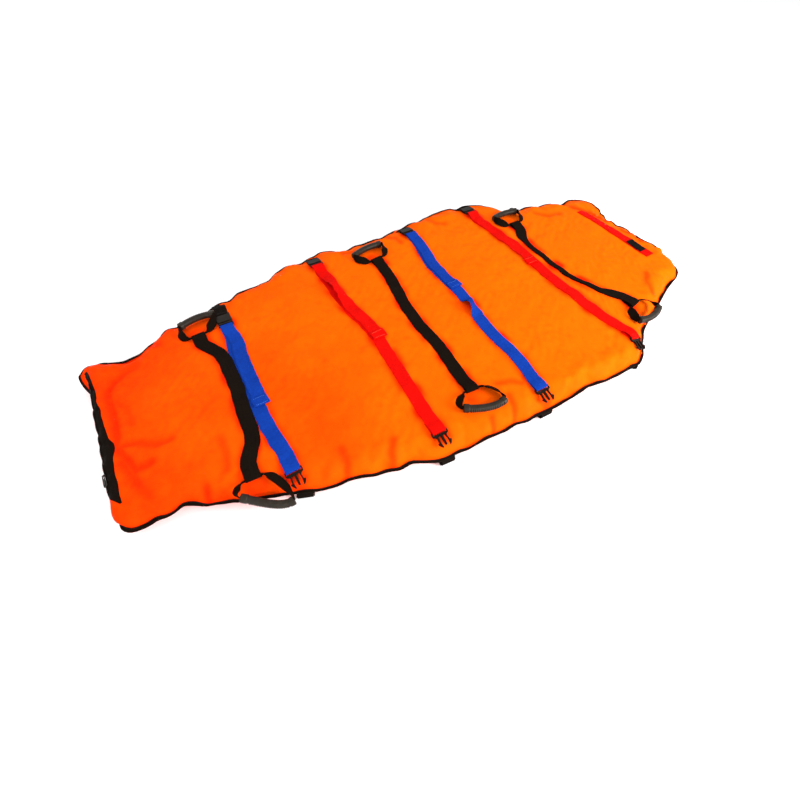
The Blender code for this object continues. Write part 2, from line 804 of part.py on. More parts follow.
def loop_path(count_arm=5, count_grip=9):
    """A handle's webbing loop as (u, v, tall, low, thick): rear, arm, through the grip, arm."""
    rear_half = WEBBING / 2 + 0.004
    half = HANDLE_WIDTH / 2 - GRIP_RADIUS
    grip_half = GRIP_LENGTH / 2
    stations = [(0.0, v, LOOP_REAR, -LOOP_REAR / 2, LOOP_REAR) for v in (-rear_half, 0.0, rear_half)]
    arm = []
    grip_end = HANDLE_DEPTH - GRIP_BULGE
    for i in range(1, count_arm + 1):
        share = i / (count_arm + 1)
        angle = pi / 2 * share
        u = grip_end * (1 - cos(angle)) ** 0.9
        v = rear_half + (half + 0.006 - rear_half) * sin(angle)
        blend = smooth_step(share * 2.2)
        tall = LOOP_REAR + (LOOP_TALL - LOOP_REAR) * blend
        low = -LOOP_REAR / 2 + (LOOP_REAR / 2 - LOOP_FOOT) * blend
        thick = LOOP_REAR + (LOOP_THICK - LOOP_REAR) * blend
        arm.append((u, v, tall, low, thick))
    grip = []
    for i in range(count_grip):
        v = grip_half * 1.01 * (1 - 2 * i / (count_grip - 1))
        u = grip_end + GRIP_BULGE * (1 - (v / grip_half) ** 2)
        grip.append((u, v, LOOP_IN_GRIP, grip_level() - LOOP_IN_GRIP / 2, LOOP_THICK))
    back = [(u, -v, tall, low, thick) for u, v, tall, low, thick in reversed(arm)]
    return stations + arm + grip + back


def grip_level():
    """Height of the grip's middle over the loop's axis."""
    return GRIP_RADIUS + LIE_GAP - (LIE + LOOP_WRAP) + 0.0006


def handle_loop(name, bar):
    """The webbing loop of a carry handle, standing on edge in its arms."""
    path = loop_path()
    bm = bmesh.new()
    rings = []
    for i, (u, v, tall, low, thick) in enumerate(path):
        before = path[i - 1]
        after = path[(i + 1) % len(path)]
        along = Vector((after[0] - before[0], after[1] - before[1], 0)).normalized()
        side = Vector((along.y, -along.x, 0)) * (thick / 2)
        foot = Vector((u, v, low))
        head = Vector((u, v, low + tall))
        rings.append([bm.verts.new(p) for p in (foot - side, foot + side, head + side, head - side)])
    ring_faces(bm, rings, closed=True)
    bm.transform(bar.matrix())
    return add_object(name, mesh_from(bm, name), "black", 0.75)


def tube_rings(bm, path, section):
    """Rings of a section set square to a path of (u, v) points at the grip's level."""
    rings = []
    for i, (u, v) in enumerate(path):
        before = path[max(i - 1, 0)]
        after = path[min(i + 1, len(path) - 1)]
        along = Vector((after[0] - before[0], after[1] - before[1], 0)).normalized()
        side = Vector((along.y, -along.x, 0))
        middle = Vector((u, v, grip_level()))
        rings.append([bm.verts.new(middle + side * a + Vector((0, 0, b))) for a, b in section(i)])
    return rings


def handle_grip(name, bar):
    """A ribbed, curved rubber grip with the loop's webbing through it."""
    half = GRIP_LENGTH / 2
    grip_end = HANDLE_DEPTH - GRIP_BULGE

    def at(v):
        return grip_end + GRIP_BULGE * (1 - (v / half) ** 2), v

    steps = 2 * GRIP_RIBS
    outer_path = [at(half * (1 - 2 * i / steps)) for i in range(steps + 1)]
    bore_path = [at(half * (1 - 2 * i / 8)) for i in range(9)]

    def outer(i):
        radius = GRIP_RADIUS - (GRIP_GROOVE if i % 2 == 0 else 0)
        radius *= 0.86 if i in (0, steps) else 1
        return [(radius * cos(pi / 4 * k + pi / 8), radius * sin(pi / 4 * k + pi / 8)) for k in range(8)]

    def bore(i):
        a = LOOP_THICK / 2 + RUNNING * 2
        b = LOOP_IN_GRIP / 2 + RUNNING
        return [(a, 0), (a, b), (0, b), (-a, b), (-a, 0), (-a, -b), (0, -b), (a, -b)]

    bm = bmesh.new()
    skin = tube_rings(bm, outer_path, outer)
    hole = tube_rings(bm, bore_path, bore)
    ring_faces(bm, skin)
    ring_faces(bm, hole)
    ring_faces(bm, [skin[0], hole[0]])
    ring_faces(bm, [skin[-1], hole[-1]])
    bm.transform(bar.matrix())
    return add_object(name, mesh_from(bm, name), "grip", 0.55)


def extrude_outline(name, points, low, high):
    """A flat plate of (u, v) points between two heights."""
    bm = bmesh.new()
    bottom = [bm.verts.new((u, v, low)) for u, v in points]
    top = [bm.verts.new((u, v, high)) for u, v in points]
    bm.faces.new(bottom[::-1])
    bm.faces.new(top)
    ring_faces(bm, [bottom, top])
    obj = bpy.data.objects.new(name, mesh_from(bm, name))
    bpy.context.collection.objects.link(obj)
    return obj


def mirrored(half):
    """A closed outline from the half with v over 0, listed from high u to low u."""
    return half + [(u, -v) for u, v in reversed(half)]


def clip_mesh():
    """Male half of a side-release buckle: bar, frame, guide tongue and two barbed arms."""
    half_outline = [
        (PRONG_TIP - 0.004, 0.0019), (PRONG_TIP - 0.006, 0.0026), (CLIP_BASE, 0.0032),
        (CLIP_BASE, 0.0098), (0.0290, 0.0118), (PRONG_TIP - 0.001, 0.0098), (PRONG_TIP, 0.0112),
        (PRONG_TIP - 0.003, 0.0146), (0.0350, BARB_OUT), (0.0318, BARB_OUT), (0.0308, 0.0154),
        (0.0180, 0.0140), (CLIP_BASE, 0.0164), (CLIP_BASE - 0.0012, 0.0200), (0.0104, BUCKLE_HALF),
        (-BAR_RADIUS * 0.6, BUCKLE_HALF)]
    body = extrude_outline("clip", mirrored(half_outline), -CLIP_THICK / 2, CLIP_THICK / 2)
    slot = box("slot", (-1, -SLOT_HALF, -1), (CLIP_SLOT, SLOT_HALF, 1))
    boolean(body, slot, "DIFFERENCE")
    bar = cylinder("bar", (0, -SLOT_HALF - 0.001, 0), (0, 1, 0), BAR_RADIUS, 2 * SLOT_HALF + 0.002, 12)
    boolean(body, bar, "UNION")
    mesh = body.data
    bpy.data.objects.remove(body)
    return mesh


def socket_mesh():
    """Female half: a flat box with a mouth, side windows and a bar for its tab."""
    end = SOCKET_END
    mouth = SOCKET_MOUTH
    half_outline = [(end, BUCKLE_HALF - 0.003), (end - 0.004, BUCKLE_HALF - 0.0005),
                    (mouth + 0.006, BUCKLE_HALF), (mouth, BUCKLE_HALF - 0.0015)]
    body = extrude_outline("socket", mirrored(half_outline), -SOCKET_THICK / 2, SOCKET_THICK / 2)
    bevel(body, 0.0014)
    frame_half = [(TAB_BAR + BAR_RADIUS * 0.6, BUCKLE_HALF), (end - 0.003, BUCKLE_HALF)]
    frame = extrude_outline("frame", mirrored(frame_half), -BAR_RADIUS, BAR_RADIUS)
    boolean(frame, box("slot", (end, -SLOT_HALF, -1), (1, SLOT_HALF, 1)), "DIFFERENCE")
    boolean(body, frame, "UNION")
    bar = cylinder("bar", (TAB_BAR, -SLOT_HALF - 0.001, 0), (0, 1, 0), BAR_RADIUS,
                   2 * SLOT_HALF + 0.002, 12)
    boolean(body, bar, "UNION")
    inside = CLIP_THICK / 2 + RUNNING
    guide = 0.0170
    hollow_half = [(end - SOCKET_WALL, guide - 0.004), (WINDOW_END, guide), (mouth - 0.01, guide)]
    hollow = extrude_outline("hollow", mirrored(hollow_half), -inside, inside)
    boolean(body, hollow, "DIFFERENCE")
    for side in (-1, 1):
        sides = sorted((side * (guide - 0.001), side * (BUCKLE_HALF + 0.01)))
        window = box("window", (WINDOW_START, sides[0], -inside), (WINDOW_END, sides[1], inside))
        boolean(body, window, "DIFFERENCE")
    mesh = body.data
    bpy.data.objects.remove(body)
    return mesh


def placed(name, mesh, place, colour="plastic"):
    """A copy of a shared mesh in its own place, origin on its bar."""
    copy = mesh.copy()
    copy.materials.clear()
    obj = add_object(name, copy, colour, 0.4)
    obj.matrix_world = place
    return obj


def upper_hull(points):
    """The points that a line stretched over them all would touch, by rising first value."""
    hull = []
    for point in sorted(points):
        while len(hull) > 1:
            (ax, az), (bx, bz) = hull[-2:]
            if (bx - ax) * (point[1] - az) < (bz - az) * (point[0] - ax):
                break
            hull.pop()
        hull.append(point)
    return hull


def laid_over(path, y):
    """A ring for a second layer of webbing, laid over a run where it passes y."""
    for (start, first), (end, last) in zip(path, path[1:]):
        if end.y <= y <= start.y:
            share = (start.y - y) / (start.y - end.y)
            side = first.lerp(last, share).normalized()
            up = (end - start).cross(side).normalized()
            return start.lerp(end, share) + up * (WEB_THICK + LAYER_GAP), side
    return path[0]


def far_tab(name, bar):
    """Webbing from the edge seam, over the wall, round the socket's bar and sewn to itself."""
    x = bar.x
    edge = edge_y(x, 1)
    centre = bar.centre + bar.out * TAB_BAR
    along, _ = edge_directions(x, 1)
    first = edge - FLANGE / along.x
    wall = []
    for i in range(40):
        point, normal = surface(x, first - (first - centre.y) * (i + 0.5) / 40)
        flat = Vector((normal.y, normal.z))
        lift = LIE / flat.length_squared
        wall.append((edge - point.y - flat.x * lift, point.z + flat.y * lift))
    foot = (TAB_FROM_EDGE / along.x, SEAM_HEIGHT + FLANGE_RISE + TOUCH * 2 + LIE_GAP)
    to_bar = upper_hull([foot, *wall, (edge - centre.y, centre.z)])[-2]
    away = Vector((edge - to_bar[0] - centre.y, to_bar[1] - centre.z)).normalized()
    up = Vector((-away.y, away.x))
    leaves = (edge - centre.y + up.x * bar.wrap, centre.z - up.y * bar.wrap)
    hull = upper_hull([foot, *wall, leaves])
    path = []
    for distance, z in hull[:-1]:
        side = along
        if distance * along.x > FLANGE + 0.001:
            normal = surface(x, edge - distance)[1]
            side = (Vector((1, 0, 0)) - normal * normal.x).normalized()
        path.append((Vector((x, edge - distance, z)), side))
    path = thinned(path)
    side = Vector((1, 0, 0))
    for i in range(7):
        angle = atan2(away.y, away.x) - pi / 2 - pi / 6 * i
        path.append((centre + Vector((0, cos(angle), sin(angle))) * bar.wrap, side))
    path.append(laid_over(path[:-6], centre.y + TAB_FLAP))
    return ribbon(name, path, "black")


def near_socket_place(x):
    """Place of a socket tucked flat under the near edge, its mouth inwards."""
    along, out = edge_directions(x, -1)
    place = Matrix((out, -along, Vector((0, 0, 1)))).transposed().to_4x4()
    bar = Vector((x, edge_y(x, -1), SOCKET_THICK / 2 + UNDER_LIFT)) - out * UNDER_BAR_INSET
    place.translation = bar - out * TAB_BAR
    return place, bar, out, along


def near_tab(name, bar, out, along):
    """Webbing that hangs from the edge's underside round the tucked socket's bar."""
    top = SEAM_HEIGHT - FLANGE_RISE - TOUCH - BINDING_THICK - TAB_DROP
    wrap = BAR_WRAP
    corners = [(-0.0020, top - bar.z), (0.0024, 0.0105)]
    corners += [(wrap * cos(radians(a)), wrap * sin(radians(a))) for a in range(0, -181, -30)]
    corners += [(-0.0042, 0.0095), (-0.0052, top - bar.z)]
    path = [(bar + out * u + Vector((0, 0, w)), along) for u, w in corners]
    return ribbon(name, path, "black")


def valve(top, bladder):
    """Valve body, cap, plunger and nut in the far wall, with holes cut through both skins."""
    x = STATIONS[6] + VALVE_PAST_SHOULDER
    _, out = edge_directions(x, 1)

    def at(distance):
        return Vector((x, edge_y(x, 1), VALVE_HEIGHT)) - out * distance

    boss_length = NECK_REACH - BOSS_FACE
    body = cylinder("valve_body", at(BOSS_FACE), -out, BOSS_RADIUS, 0.045, 24)
    boolean(body, above_cover(RUNNING), "DIFFERENCE")
    boolean(body, cylinder("neck", at(NECK_REACH), out, NECK_RADIUS, boss_length - 0.001, 24), "UNION")
    boolean(body, cylinder("spout", at(BOSS_FACE + 0.001), out, SPOUT_RADIUS, SPOUT_LENGTH + 0.001, 24),
            "UNION")
    boolean(body, cylinder("bore", at(NECK_REACH + 0.01), out, BORE_RADIUS, 0.1, 20), "DIFFERENCE")
    finish(body, "plastic", 0.4)

    hole = NECK_RADIUS + TOUCH
    for shell in (top, bladder):
        boolean(shell, cylinder("hole", at(NECK_REACH + 0.004), out, hole, NECK_REACH, 24), "DIFFERENCE")

    face = at(BOSS_FACE)
    cap = cylinder("valve_cap", face + out * 0.0006, out, CAP_RADIUS, SPOUT_LENGTH + CAP_THICK, 32)
    boolean(cap, cylinder("recess", face - out * 0.01, out, SPOUT_RADIUS + RUNNING,
                          SPOUT_LENGTH + 0.01 + RUNNING, 24), "DIFFERENCE")
    for i in range(CAP_LUGS):
        angle = 2 * pi * i / CAP_LUGS
        spoke = Vector((out.y, -out.x, 0)) * cos(angle) + Vector((0, 0, sin(angle)))
        rim = face + spoke * (CAP_RADIUS + 0.0008)
        boolean(cap, cylinder("notch", rim - out * 0.01, out, 0.0018, 0.04, 8), "DIFFERENCE")
    finish(cap, "plastic", 0.4)

    plunger = cylinder("valve_plunger", at(BOSS_FACE + PLUNGER_DEPTH), out, PLUNGER_RADIUS,
                       PLUNGER_THICK, 20)
    boolean(plunger, cylinder("stem", at(BOSS_FACE + PLUNGER_DEPTH + STEM_LENGTH), out, STEM_RADIUS,
                              STEM_LENGTH + 0.001, 12), "UNION")
    finish(plunger, "red", 0.5)

    nut_at = at(NECK_REACH - NUT_FROM_END)
    nut = cylinder("valve_nut", nut_at, out, NUT_RADIUS, NUT_THICK, 6)
    boolean(nut, cylinder("thread", nut_at - out * 0.01, out, NECK_RADIUS + TOUCH, 0.03, 24), "DIFFERENCE")
    finish(nut, "plastic", 0.4)
    return at, out


def finish(obj, colour, roughness):
    """Give a built piece its material and shading."""
    obj.data.materials.clear()
    obj.data.materials.append(material(obj.name, colour, roughness))
    obj.data.shade_smooth()
    obj.data.set_sharp_from_angle(angle=radians(35))


def head_strap():
    """The narrow strap over the head end, with its hook patch."""
    def place(share):
        x = LENGTH / 2 - HEAD_STRAP_FROM_HEAD + HEAD_STRAP_SLANT * share
        return x, HEAD_STRAP_FAR + (HEAD_STRAP_NEAR - HEAD_STRAP_FAR) * share

    length = HEAD_STRAP_FAR - HEAD_STRAP_NEAR
    across = Vector((length, HEAD_STRAP_SLANT, 0)).normalized()
    rise = LIE + WEB_THICK / 2 + TOUCH * 2 + PATCH_THICK / 2

    def run(start, end, count, level):
        points = []
        for i in range(count):
            spot, normal = surface(*place(start + (end - start) * i / (count - 1)))
            side = across - normal * across.dot(normal)
            points.append((spot + normal * level, side.normalized()))
        return points

    path = run(0.0, 1.0, 9, LIE)
    ribbon("head_strap", path, "red", [HEAD_WEB] * 9)
    patch_end = 1 - PATCH_FROM_END / length
    patch = run(patch_end - PATCH_LENGTH / length, patch_end, 3, rise)
    ribbon("head_strap_patch", patch, "black", [HEAD_WEB * 0.96] * 3, [PATCH_THICK] * 3)


def main():
    """Build every piece."""
    for obj in list(bpy.data.objects):
        bpy.data.objects.remove(obj)
    top = cover_top()
    cover_bottom()
    edge_binding()
    bladder = add_object("air_bladder", pillow(BLADDER_INSET), "bladder", 0.5)
    solidify(bladder, BLADDER_THICK)
    valve_at, valve_out = valve(top, bladder)
    beads = add_object("bead_fill", pillow(BEAD_INSET), "beads", 0.9)
    recess = cylinder("recess", valve_at(NECK_REACH + 0.004), valve_out, NUT_RADIUS + 0.0015, 0.1, 16)
    boolean(beads, recess, "DIFFERENCE")
    foot_zip()
    zip_slider()
    for name, far_end, near_end, bends, folded in CARRY_SETS:
        ends = []
        for where, side, (x, inset, turn) in (("far", 1, far_end), ("near", -1, near_end)):
            bar = edge_bar(x, inset, side, LOOP_WRAP, turn)
            handle_loop(f"handle_loop_{name}_{where}", bar)
            handle_grip(f"handle_grip_{name}_{where}", bar)
            ends.append(bar)
        carry_strap(f"carry_strap_{name}", Way(ends[0], ends[1], bends), folded)
    clip = clip_mesh()
    socket = socket_mesh()
    for name, far_x, far_inset, near_x, near_inset, bends, tail, shift in PATIENT_STRAPS:
        far = edge_bar(far_x, far_inset, 1, BAR_WRAP, 0.0, TAB_BAR, SOCKET_THICK / 2)
        near = edge_bar(near_x, near_inset, -1, BAR_WRAP)
        colour = name.split("_")[0]
        patient_strap(f"strap_{name}", Way(far, near, bends), tail, shift * WEBBING, colour)
        placed(f"far_clip_{name}", clip, far.matrix())
        placed(f"far_socket_{name}", socket, far.matrix())
        placed(f"near_clip_{name}", clip, near.matrix())
        far_tab(f"far_tab_{name}", far)
        place, bar, out, along = near_socket_place(near.x)
        placed(f"near_socket_{name}", socket, place)
        near_tab(f"near_tab_{name}", bar, out, along)
    head_strap()


main()
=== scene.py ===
"""The looks of a rescue vacuum mattress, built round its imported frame.

X runs from the foot end to the head end, Y from the near side to the far side, Z up, in metres.
The named sizes repeat those of the part's source, so that every piece lies where its solid does.
"""
from math import atan2, cos, pi, radians, sin, sqrt

import bmesh
import bpy
from mathutils import Matrix, Vector
from mathutils.bvhtree import BVHTree
import numpy as np


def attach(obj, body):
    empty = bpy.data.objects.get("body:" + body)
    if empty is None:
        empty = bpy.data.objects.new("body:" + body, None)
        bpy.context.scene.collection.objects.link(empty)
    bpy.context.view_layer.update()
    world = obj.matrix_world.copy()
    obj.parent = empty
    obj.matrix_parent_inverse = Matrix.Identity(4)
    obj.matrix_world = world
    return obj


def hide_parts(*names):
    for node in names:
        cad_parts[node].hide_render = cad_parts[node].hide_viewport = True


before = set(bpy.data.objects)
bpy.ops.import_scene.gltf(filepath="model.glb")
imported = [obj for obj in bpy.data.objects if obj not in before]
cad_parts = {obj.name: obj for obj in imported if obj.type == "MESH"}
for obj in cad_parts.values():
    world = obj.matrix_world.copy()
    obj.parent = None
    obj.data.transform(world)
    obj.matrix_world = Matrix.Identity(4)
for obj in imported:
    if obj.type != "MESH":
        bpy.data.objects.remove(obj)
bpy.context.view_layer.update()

# Sizes, as in the part's source but for the head strap's, which follow the photo more closely
STRETCHES = (0.12, 0.20, 0.48, 0.35, 0.34, 0.13, 0.38)
HALVES = (0.292, 0.268, 0.345, 0.466, 0.474, 0.485, 0.388, 0.262)
LENGTH = sum(STRETCHES)
STATIONS = [-LENGTH / 2 + sum(STRETCHES[:i]) for i in range(len(HALVES))]
FOOT_CORNER = 0.045
HEAD_CORNER = 0.080
BOW = 0.035
SEAM_HEIGHT = 0.035
SIDE_TOP = 0.074
CROWN = 0.007
CROWN_REACH = 0.32
FLANGE = 0.012
FLANGE_RISE = 0.00124
WALL_RUN = 0.070
UNDER_RUN = 0.088
UNDER_CURVE = 1.2
LIE_GAP = 0.0008
LAYER_GAP = 0.0005
RUNNING = 0.0004
WEBBING = 0.040
WEB_THICK = 0.0018
RETURN_LENGTH = 0.038
RISE_LENGTH = 0.030
BAR_LEAD = 0.008
STRAIGHT_LEAD = 0.030
HEM_LENGTH = 0.030
HEM_THICK = 0.0036
HEM_EXTRA = 0.005
HANDLE_WIDTH = 0.120
HANDLE_DEPTH = 0.068
LOOP_REAR = 0.0050
GRIP_LENGTH = 0.104
GRIP_RADIUS = 0.0115
GRIP_BULGE = 0.012
BAR_RADIUS = 0.0022
SOCKET_THICK = 0.0104
TAB_BAR = 0.0536
TAB_FROM_EDGE = 0.0107
TAB_FLAP = 0.015
UNDER_BAR_INSET = 0.0085
UNDER_LIFT = 0.001
ZIP_NEAR = -0.165
ZIP_FAR = 0.215
ZIP_LINE = 0.034
HEAD_WEB = 0.038
HEAD_STRAP_FROM_HEAD = 0.135
HEAD_STRAP_FAR = 0.202
HEAD_STRAP_NEAR = -0.136
HEAD_STRAP_SLANT = 0.030
PATCH_LENGTH = 0.066
PATCH_THICK = 0.0022
PATCH_FROM_END = 0.032
STRETCH_SPACES = (1, 2, 5, 3, 4, 3, 3)
ROWS = 6
END_MARGIN = 0.115
LIE = LIE_GAP + WEB_THICK / 2
OVER = LIE + WEB_THICK + LAYER_GAP
BAR_WRAP = BAR_RADIUS + RUNNING + WEB_THICK / 2
LOOP_WRAP = LOOP_REAR * sqrt(2) / 2 + RUNNING + WEB_THICK / 2
UNDER_TOP = SEAM_HEIGHT - FLANGE_RISE
# Carry straps: name, far and near bar (place as a share of half the length, inset in widths of
# webbing, turn in degrees), and the bends between them as (share of the way across, place)
CARRY_SETS = (
    ("foot", (-0.646, 3.20, 4.0), (-0.650, 1.20, -5.0),
     ((0.12, -0.629), (0.195, -0.611), (0.30, -0.603), (0.46, -0.603), (0.60, -0.609), (0.72, -0.611),
      (0.82, -0.619), (0.88, -0.634))),
    ("chest", (0.002, 3.875, 8.0), (-0.032, 3.50, -3.0), ((0.55, -0.030), (0.72, -0.024))),
    ("head", (0.572, 4.45, 2.0), (0.636, 1.85, 14.0),
     ((0.16, 0.545), (0.28, 0.536), (0.55, 0.544), (0.80, 0.584))),
)
# Patient straps: name, place and inset of the far and the near bar, bends, where the tail ends as
# a share of the way, and how far it lies aside, in widths of webbing
PATIENT_STRAPS = (
    ("blue_leg", -0.559, 3.75, -0.557, 1.35, ((0.30, -0.572), (0.55, -0.574), (0.80, -0.567)), 0.61, 0.36),
    ("red_hip", -0.197, 2.15, -0.184, 1.65, ((0.25, -0.196), (0.52, -0.171), (0.75, -0.178)), 0.53, 0.175),
    ("blue_belly", 0.184, 2.15, 0.146, 1.45,
     ((0.28, 0.160), (0.50, 0.164), (0.70, 0.149), (0.85, 0.157)), 0.42, 0.150),
    ("red_chest", 0.468, 2.35, 0.530, 1.50,
     ((0.15, 0.476), (0.40, 0.489), (0.60, 0.489), (0.85, 0.503)), 0.46, -0.125),
)


def smooth_step(t):
    """A smooth rise from 0 to 1, also for arrays."""
    t = np.clip(t, 0.0, 1.0)
    return t * t * (3 - 2 * t)


def eased(t):
    """The same rise for one number."""
    return float(smooth_step(t))


def hump(x, centre, reach):
    """A smooth bump of height 1, about twice reach wide."""
    return np.exp(-((x - centre) / reach) ** 2)


def through_points(xs, ys, x):
    """A smooth curve through the points that never overshoots between them."""
    x = min(max(x, xs[0]), xs[-1])
    steps = [(ys[i + 1] - ys[i]) / (xs[i + 1] - xs[i]) for i in range(len(xs) - 1)]
    slopes = [steps[0]]
    for before, after in zip(steps, steps[1:]):
        slopes.append(0.0 if before * after <= 0 else 2 * before * after / (before + after))
    slopes.append(steps[-1])
    i = min(sum(x >= knot for knot in xs[1:]), len(xs) - 2)
    width = xs[i + 1] - xs[i]
    t = (x - xs[i]) / width
    return ((1 + 2 * t) * (1 - t) ** 2 * ys[i] + t * (1 - t) ** 2 * width * slopes[i]
            + t * t * (3 - 2 * t) * ys[i + 1] + t * t * (t - 1) * width * slopes[i + 1])


def centre_y(x):
    """Where the middle of the mattress lies at x."""
    return BOW * ((2 * x / LENGTH) ** 2 - 0.2)


def half_width(x):
    """The half-width at x, before the corners are rounded."""
    return through_points(STATIONS, HALVES, x)


def corner_points(end, radius, turns):
    """X and half-width of points round the corners at the foot end (-1) or the head end (1)."""
    places = [(end * (LENGTH / 2 - radius * (1 - cos(turn))), radius * (1 - sin(turn))) for turn in turns]
    return [(x, half_width(x) - cut) for x, cut in places]


def coarse_outline():
    """The solid's own outline, which its straps and buckles were set out on."""
    low, high = -LENGTH / 2 + END_MARGIN, LENGTH / 2 - END_MARGIN
    marks = [low] + STATIONS[1:-1] + [high]
    middle = [low]
    for start, end, spaces in zip(marks, marks[1:], STRETCH_SPACES):
        middle += [start + (end - start) * i / spaces for i in range(1, spaces + 1)]
    turns = [pi / 2 * i / 3 for i in range(4)]
    sides = (corner_points(-1, FOOT_CORNER, turns) + [(x, half_width(x)) for x in middle]
             + corner_points(1, HEAD_CORNER, turns[::-1]))
    near, far = ([(x, centre_y(x) + side * half) for x, half in sides] for side in (-1, 1))
    head = [tuple(np.add(near[-1], np.subtract(far[-1], near[-1]) * i / ROWS)) for i in range(1, ROWS)]
    foot = [tuple(np.add(far[0], np.subtract(near[0], far[0]) * i / ROWS)) for i in range(1, ROWS)]
    return np.array(near + head + far[::-1] + foot)


OUTLINE = coarse_outline()


def edge_distance(x, y):
    """How far plan points lie from the outline, for numbers or arrays."""
    points = np.stack([np.ravel(x), np.ravel(y)], 1).astype(float)
    run = np.roll(OUTLINE, -1, axis=0) - OUTLINE
    best = np.full(len(points), 9.0)
    for start, step in zip(OUTLINE, run):
        to_point = points - start
        along = np.clip(to_point @ step / (step @ step), 0, 1)
        gap = to_point - along[:, None] * step
        best = np.minimum(best, (gap * gap).sum(1))
    best = np.sqrt(best)
    return best.reshape(np.shape(x)) if np.ndim(x) else float(best[0])


def crown(inside):
    """Rise of the top over its walls at a distance in from their foot."""
    return CROWN * (1 - (1 - np.clip(inside / CROWN_REACH, 0, 1)) ** 2)


def wall_share(inside):
    """How much of the wall's height is reached at a distance in from its foot."""
    lean = 1 - np.clip(inside / WALL_RUN, 0, 1)
    return np.sqrt(1 - lean * lean)


def top_height(distance):
    """Height of the solid's top at a distance in from the edge."""
    base = SEAM_HEIGHT + FLANGE_RISE
    inside = distance - FLANGE
    if inside <= 0:
        return base
    return base + (SIDE_TOP - base) * float(wall_share(inside)) + float(crown(inside))


def cad_surface(x, y):
    """A point of the solid's top and its outward normal there."""
    step = 0.001
    spots = edge_distance(np.array([x, x + step, x - step, x, x]), np.array([y, y, y, y + step, y - step]))
    here, right, left, back, front = [top_height(d) for d in spots]
    slopes = (-(right - left) / (2 * step), -(back - front) / (2 * step), 1)
    return Vector((x, y, here)), Vector(slopes).normalized()


def edge_y(x, side):
    """The outline's Y at x on the far side (1) or the near side (-1)."""
    return centre_y(x) + side * half_width(x)


def edge_directions(x, side):
    """The edge's own direction at x, towards +X, and the outward one."""
    step = 0.01
    along = Vector((2 * step, edge_y(x + step, side) - edge_y(x - step, side), 0)).normalized()
    return along, Vector((-along.y, along.x, 0)) * side


class Bar:
    """A crosswise bar on the mattress: its centre, outward direction, normal and axis."""

    def __init__(self, place, inset, side, wrap, turn=0.0, reach=0.0, half_thick=0.0):
        x = place * LENGTH / 2
        y = edge_y(x, side) - side * inset * WEBBING
        point, normal = cad_surface(x, y)
        out = Matrix.Rotation(radians(turn), 3, "Z") @ Vector((0, side, 0))
        if reach:
            out = cad_surface(x, y + side * reach)[0] - point
            normal = out.cross(Vector((-side, 0, 0))).normalized()
        self.out = (out - normal * out.dot(normal)).normalized()
        self.normal = normal
        self.axis = self.out.cross(normal).normalized()
        self.wrap = wrap
        under = [cad_surface(x, y + side * reach * i / 8)[0] - point for i in range(9)]
        bulge = max(step.dot(normal) for step in under)
        self.height = max(LIE + wrap, LIE_GAP + half_thick + bulge)
        self.centre = point + normal * self.height
        self.x, self.y, self.side = x, y, side

    def matrix(self):
        """Places a piece drawn with u outward, v along the bar and w up."""
        place = Matrix((self.out, self.axis, self.normal)).transposed().to_4x4()
        place.translation = self.centre
        return place


# ---------------------------------------------------------------- materials

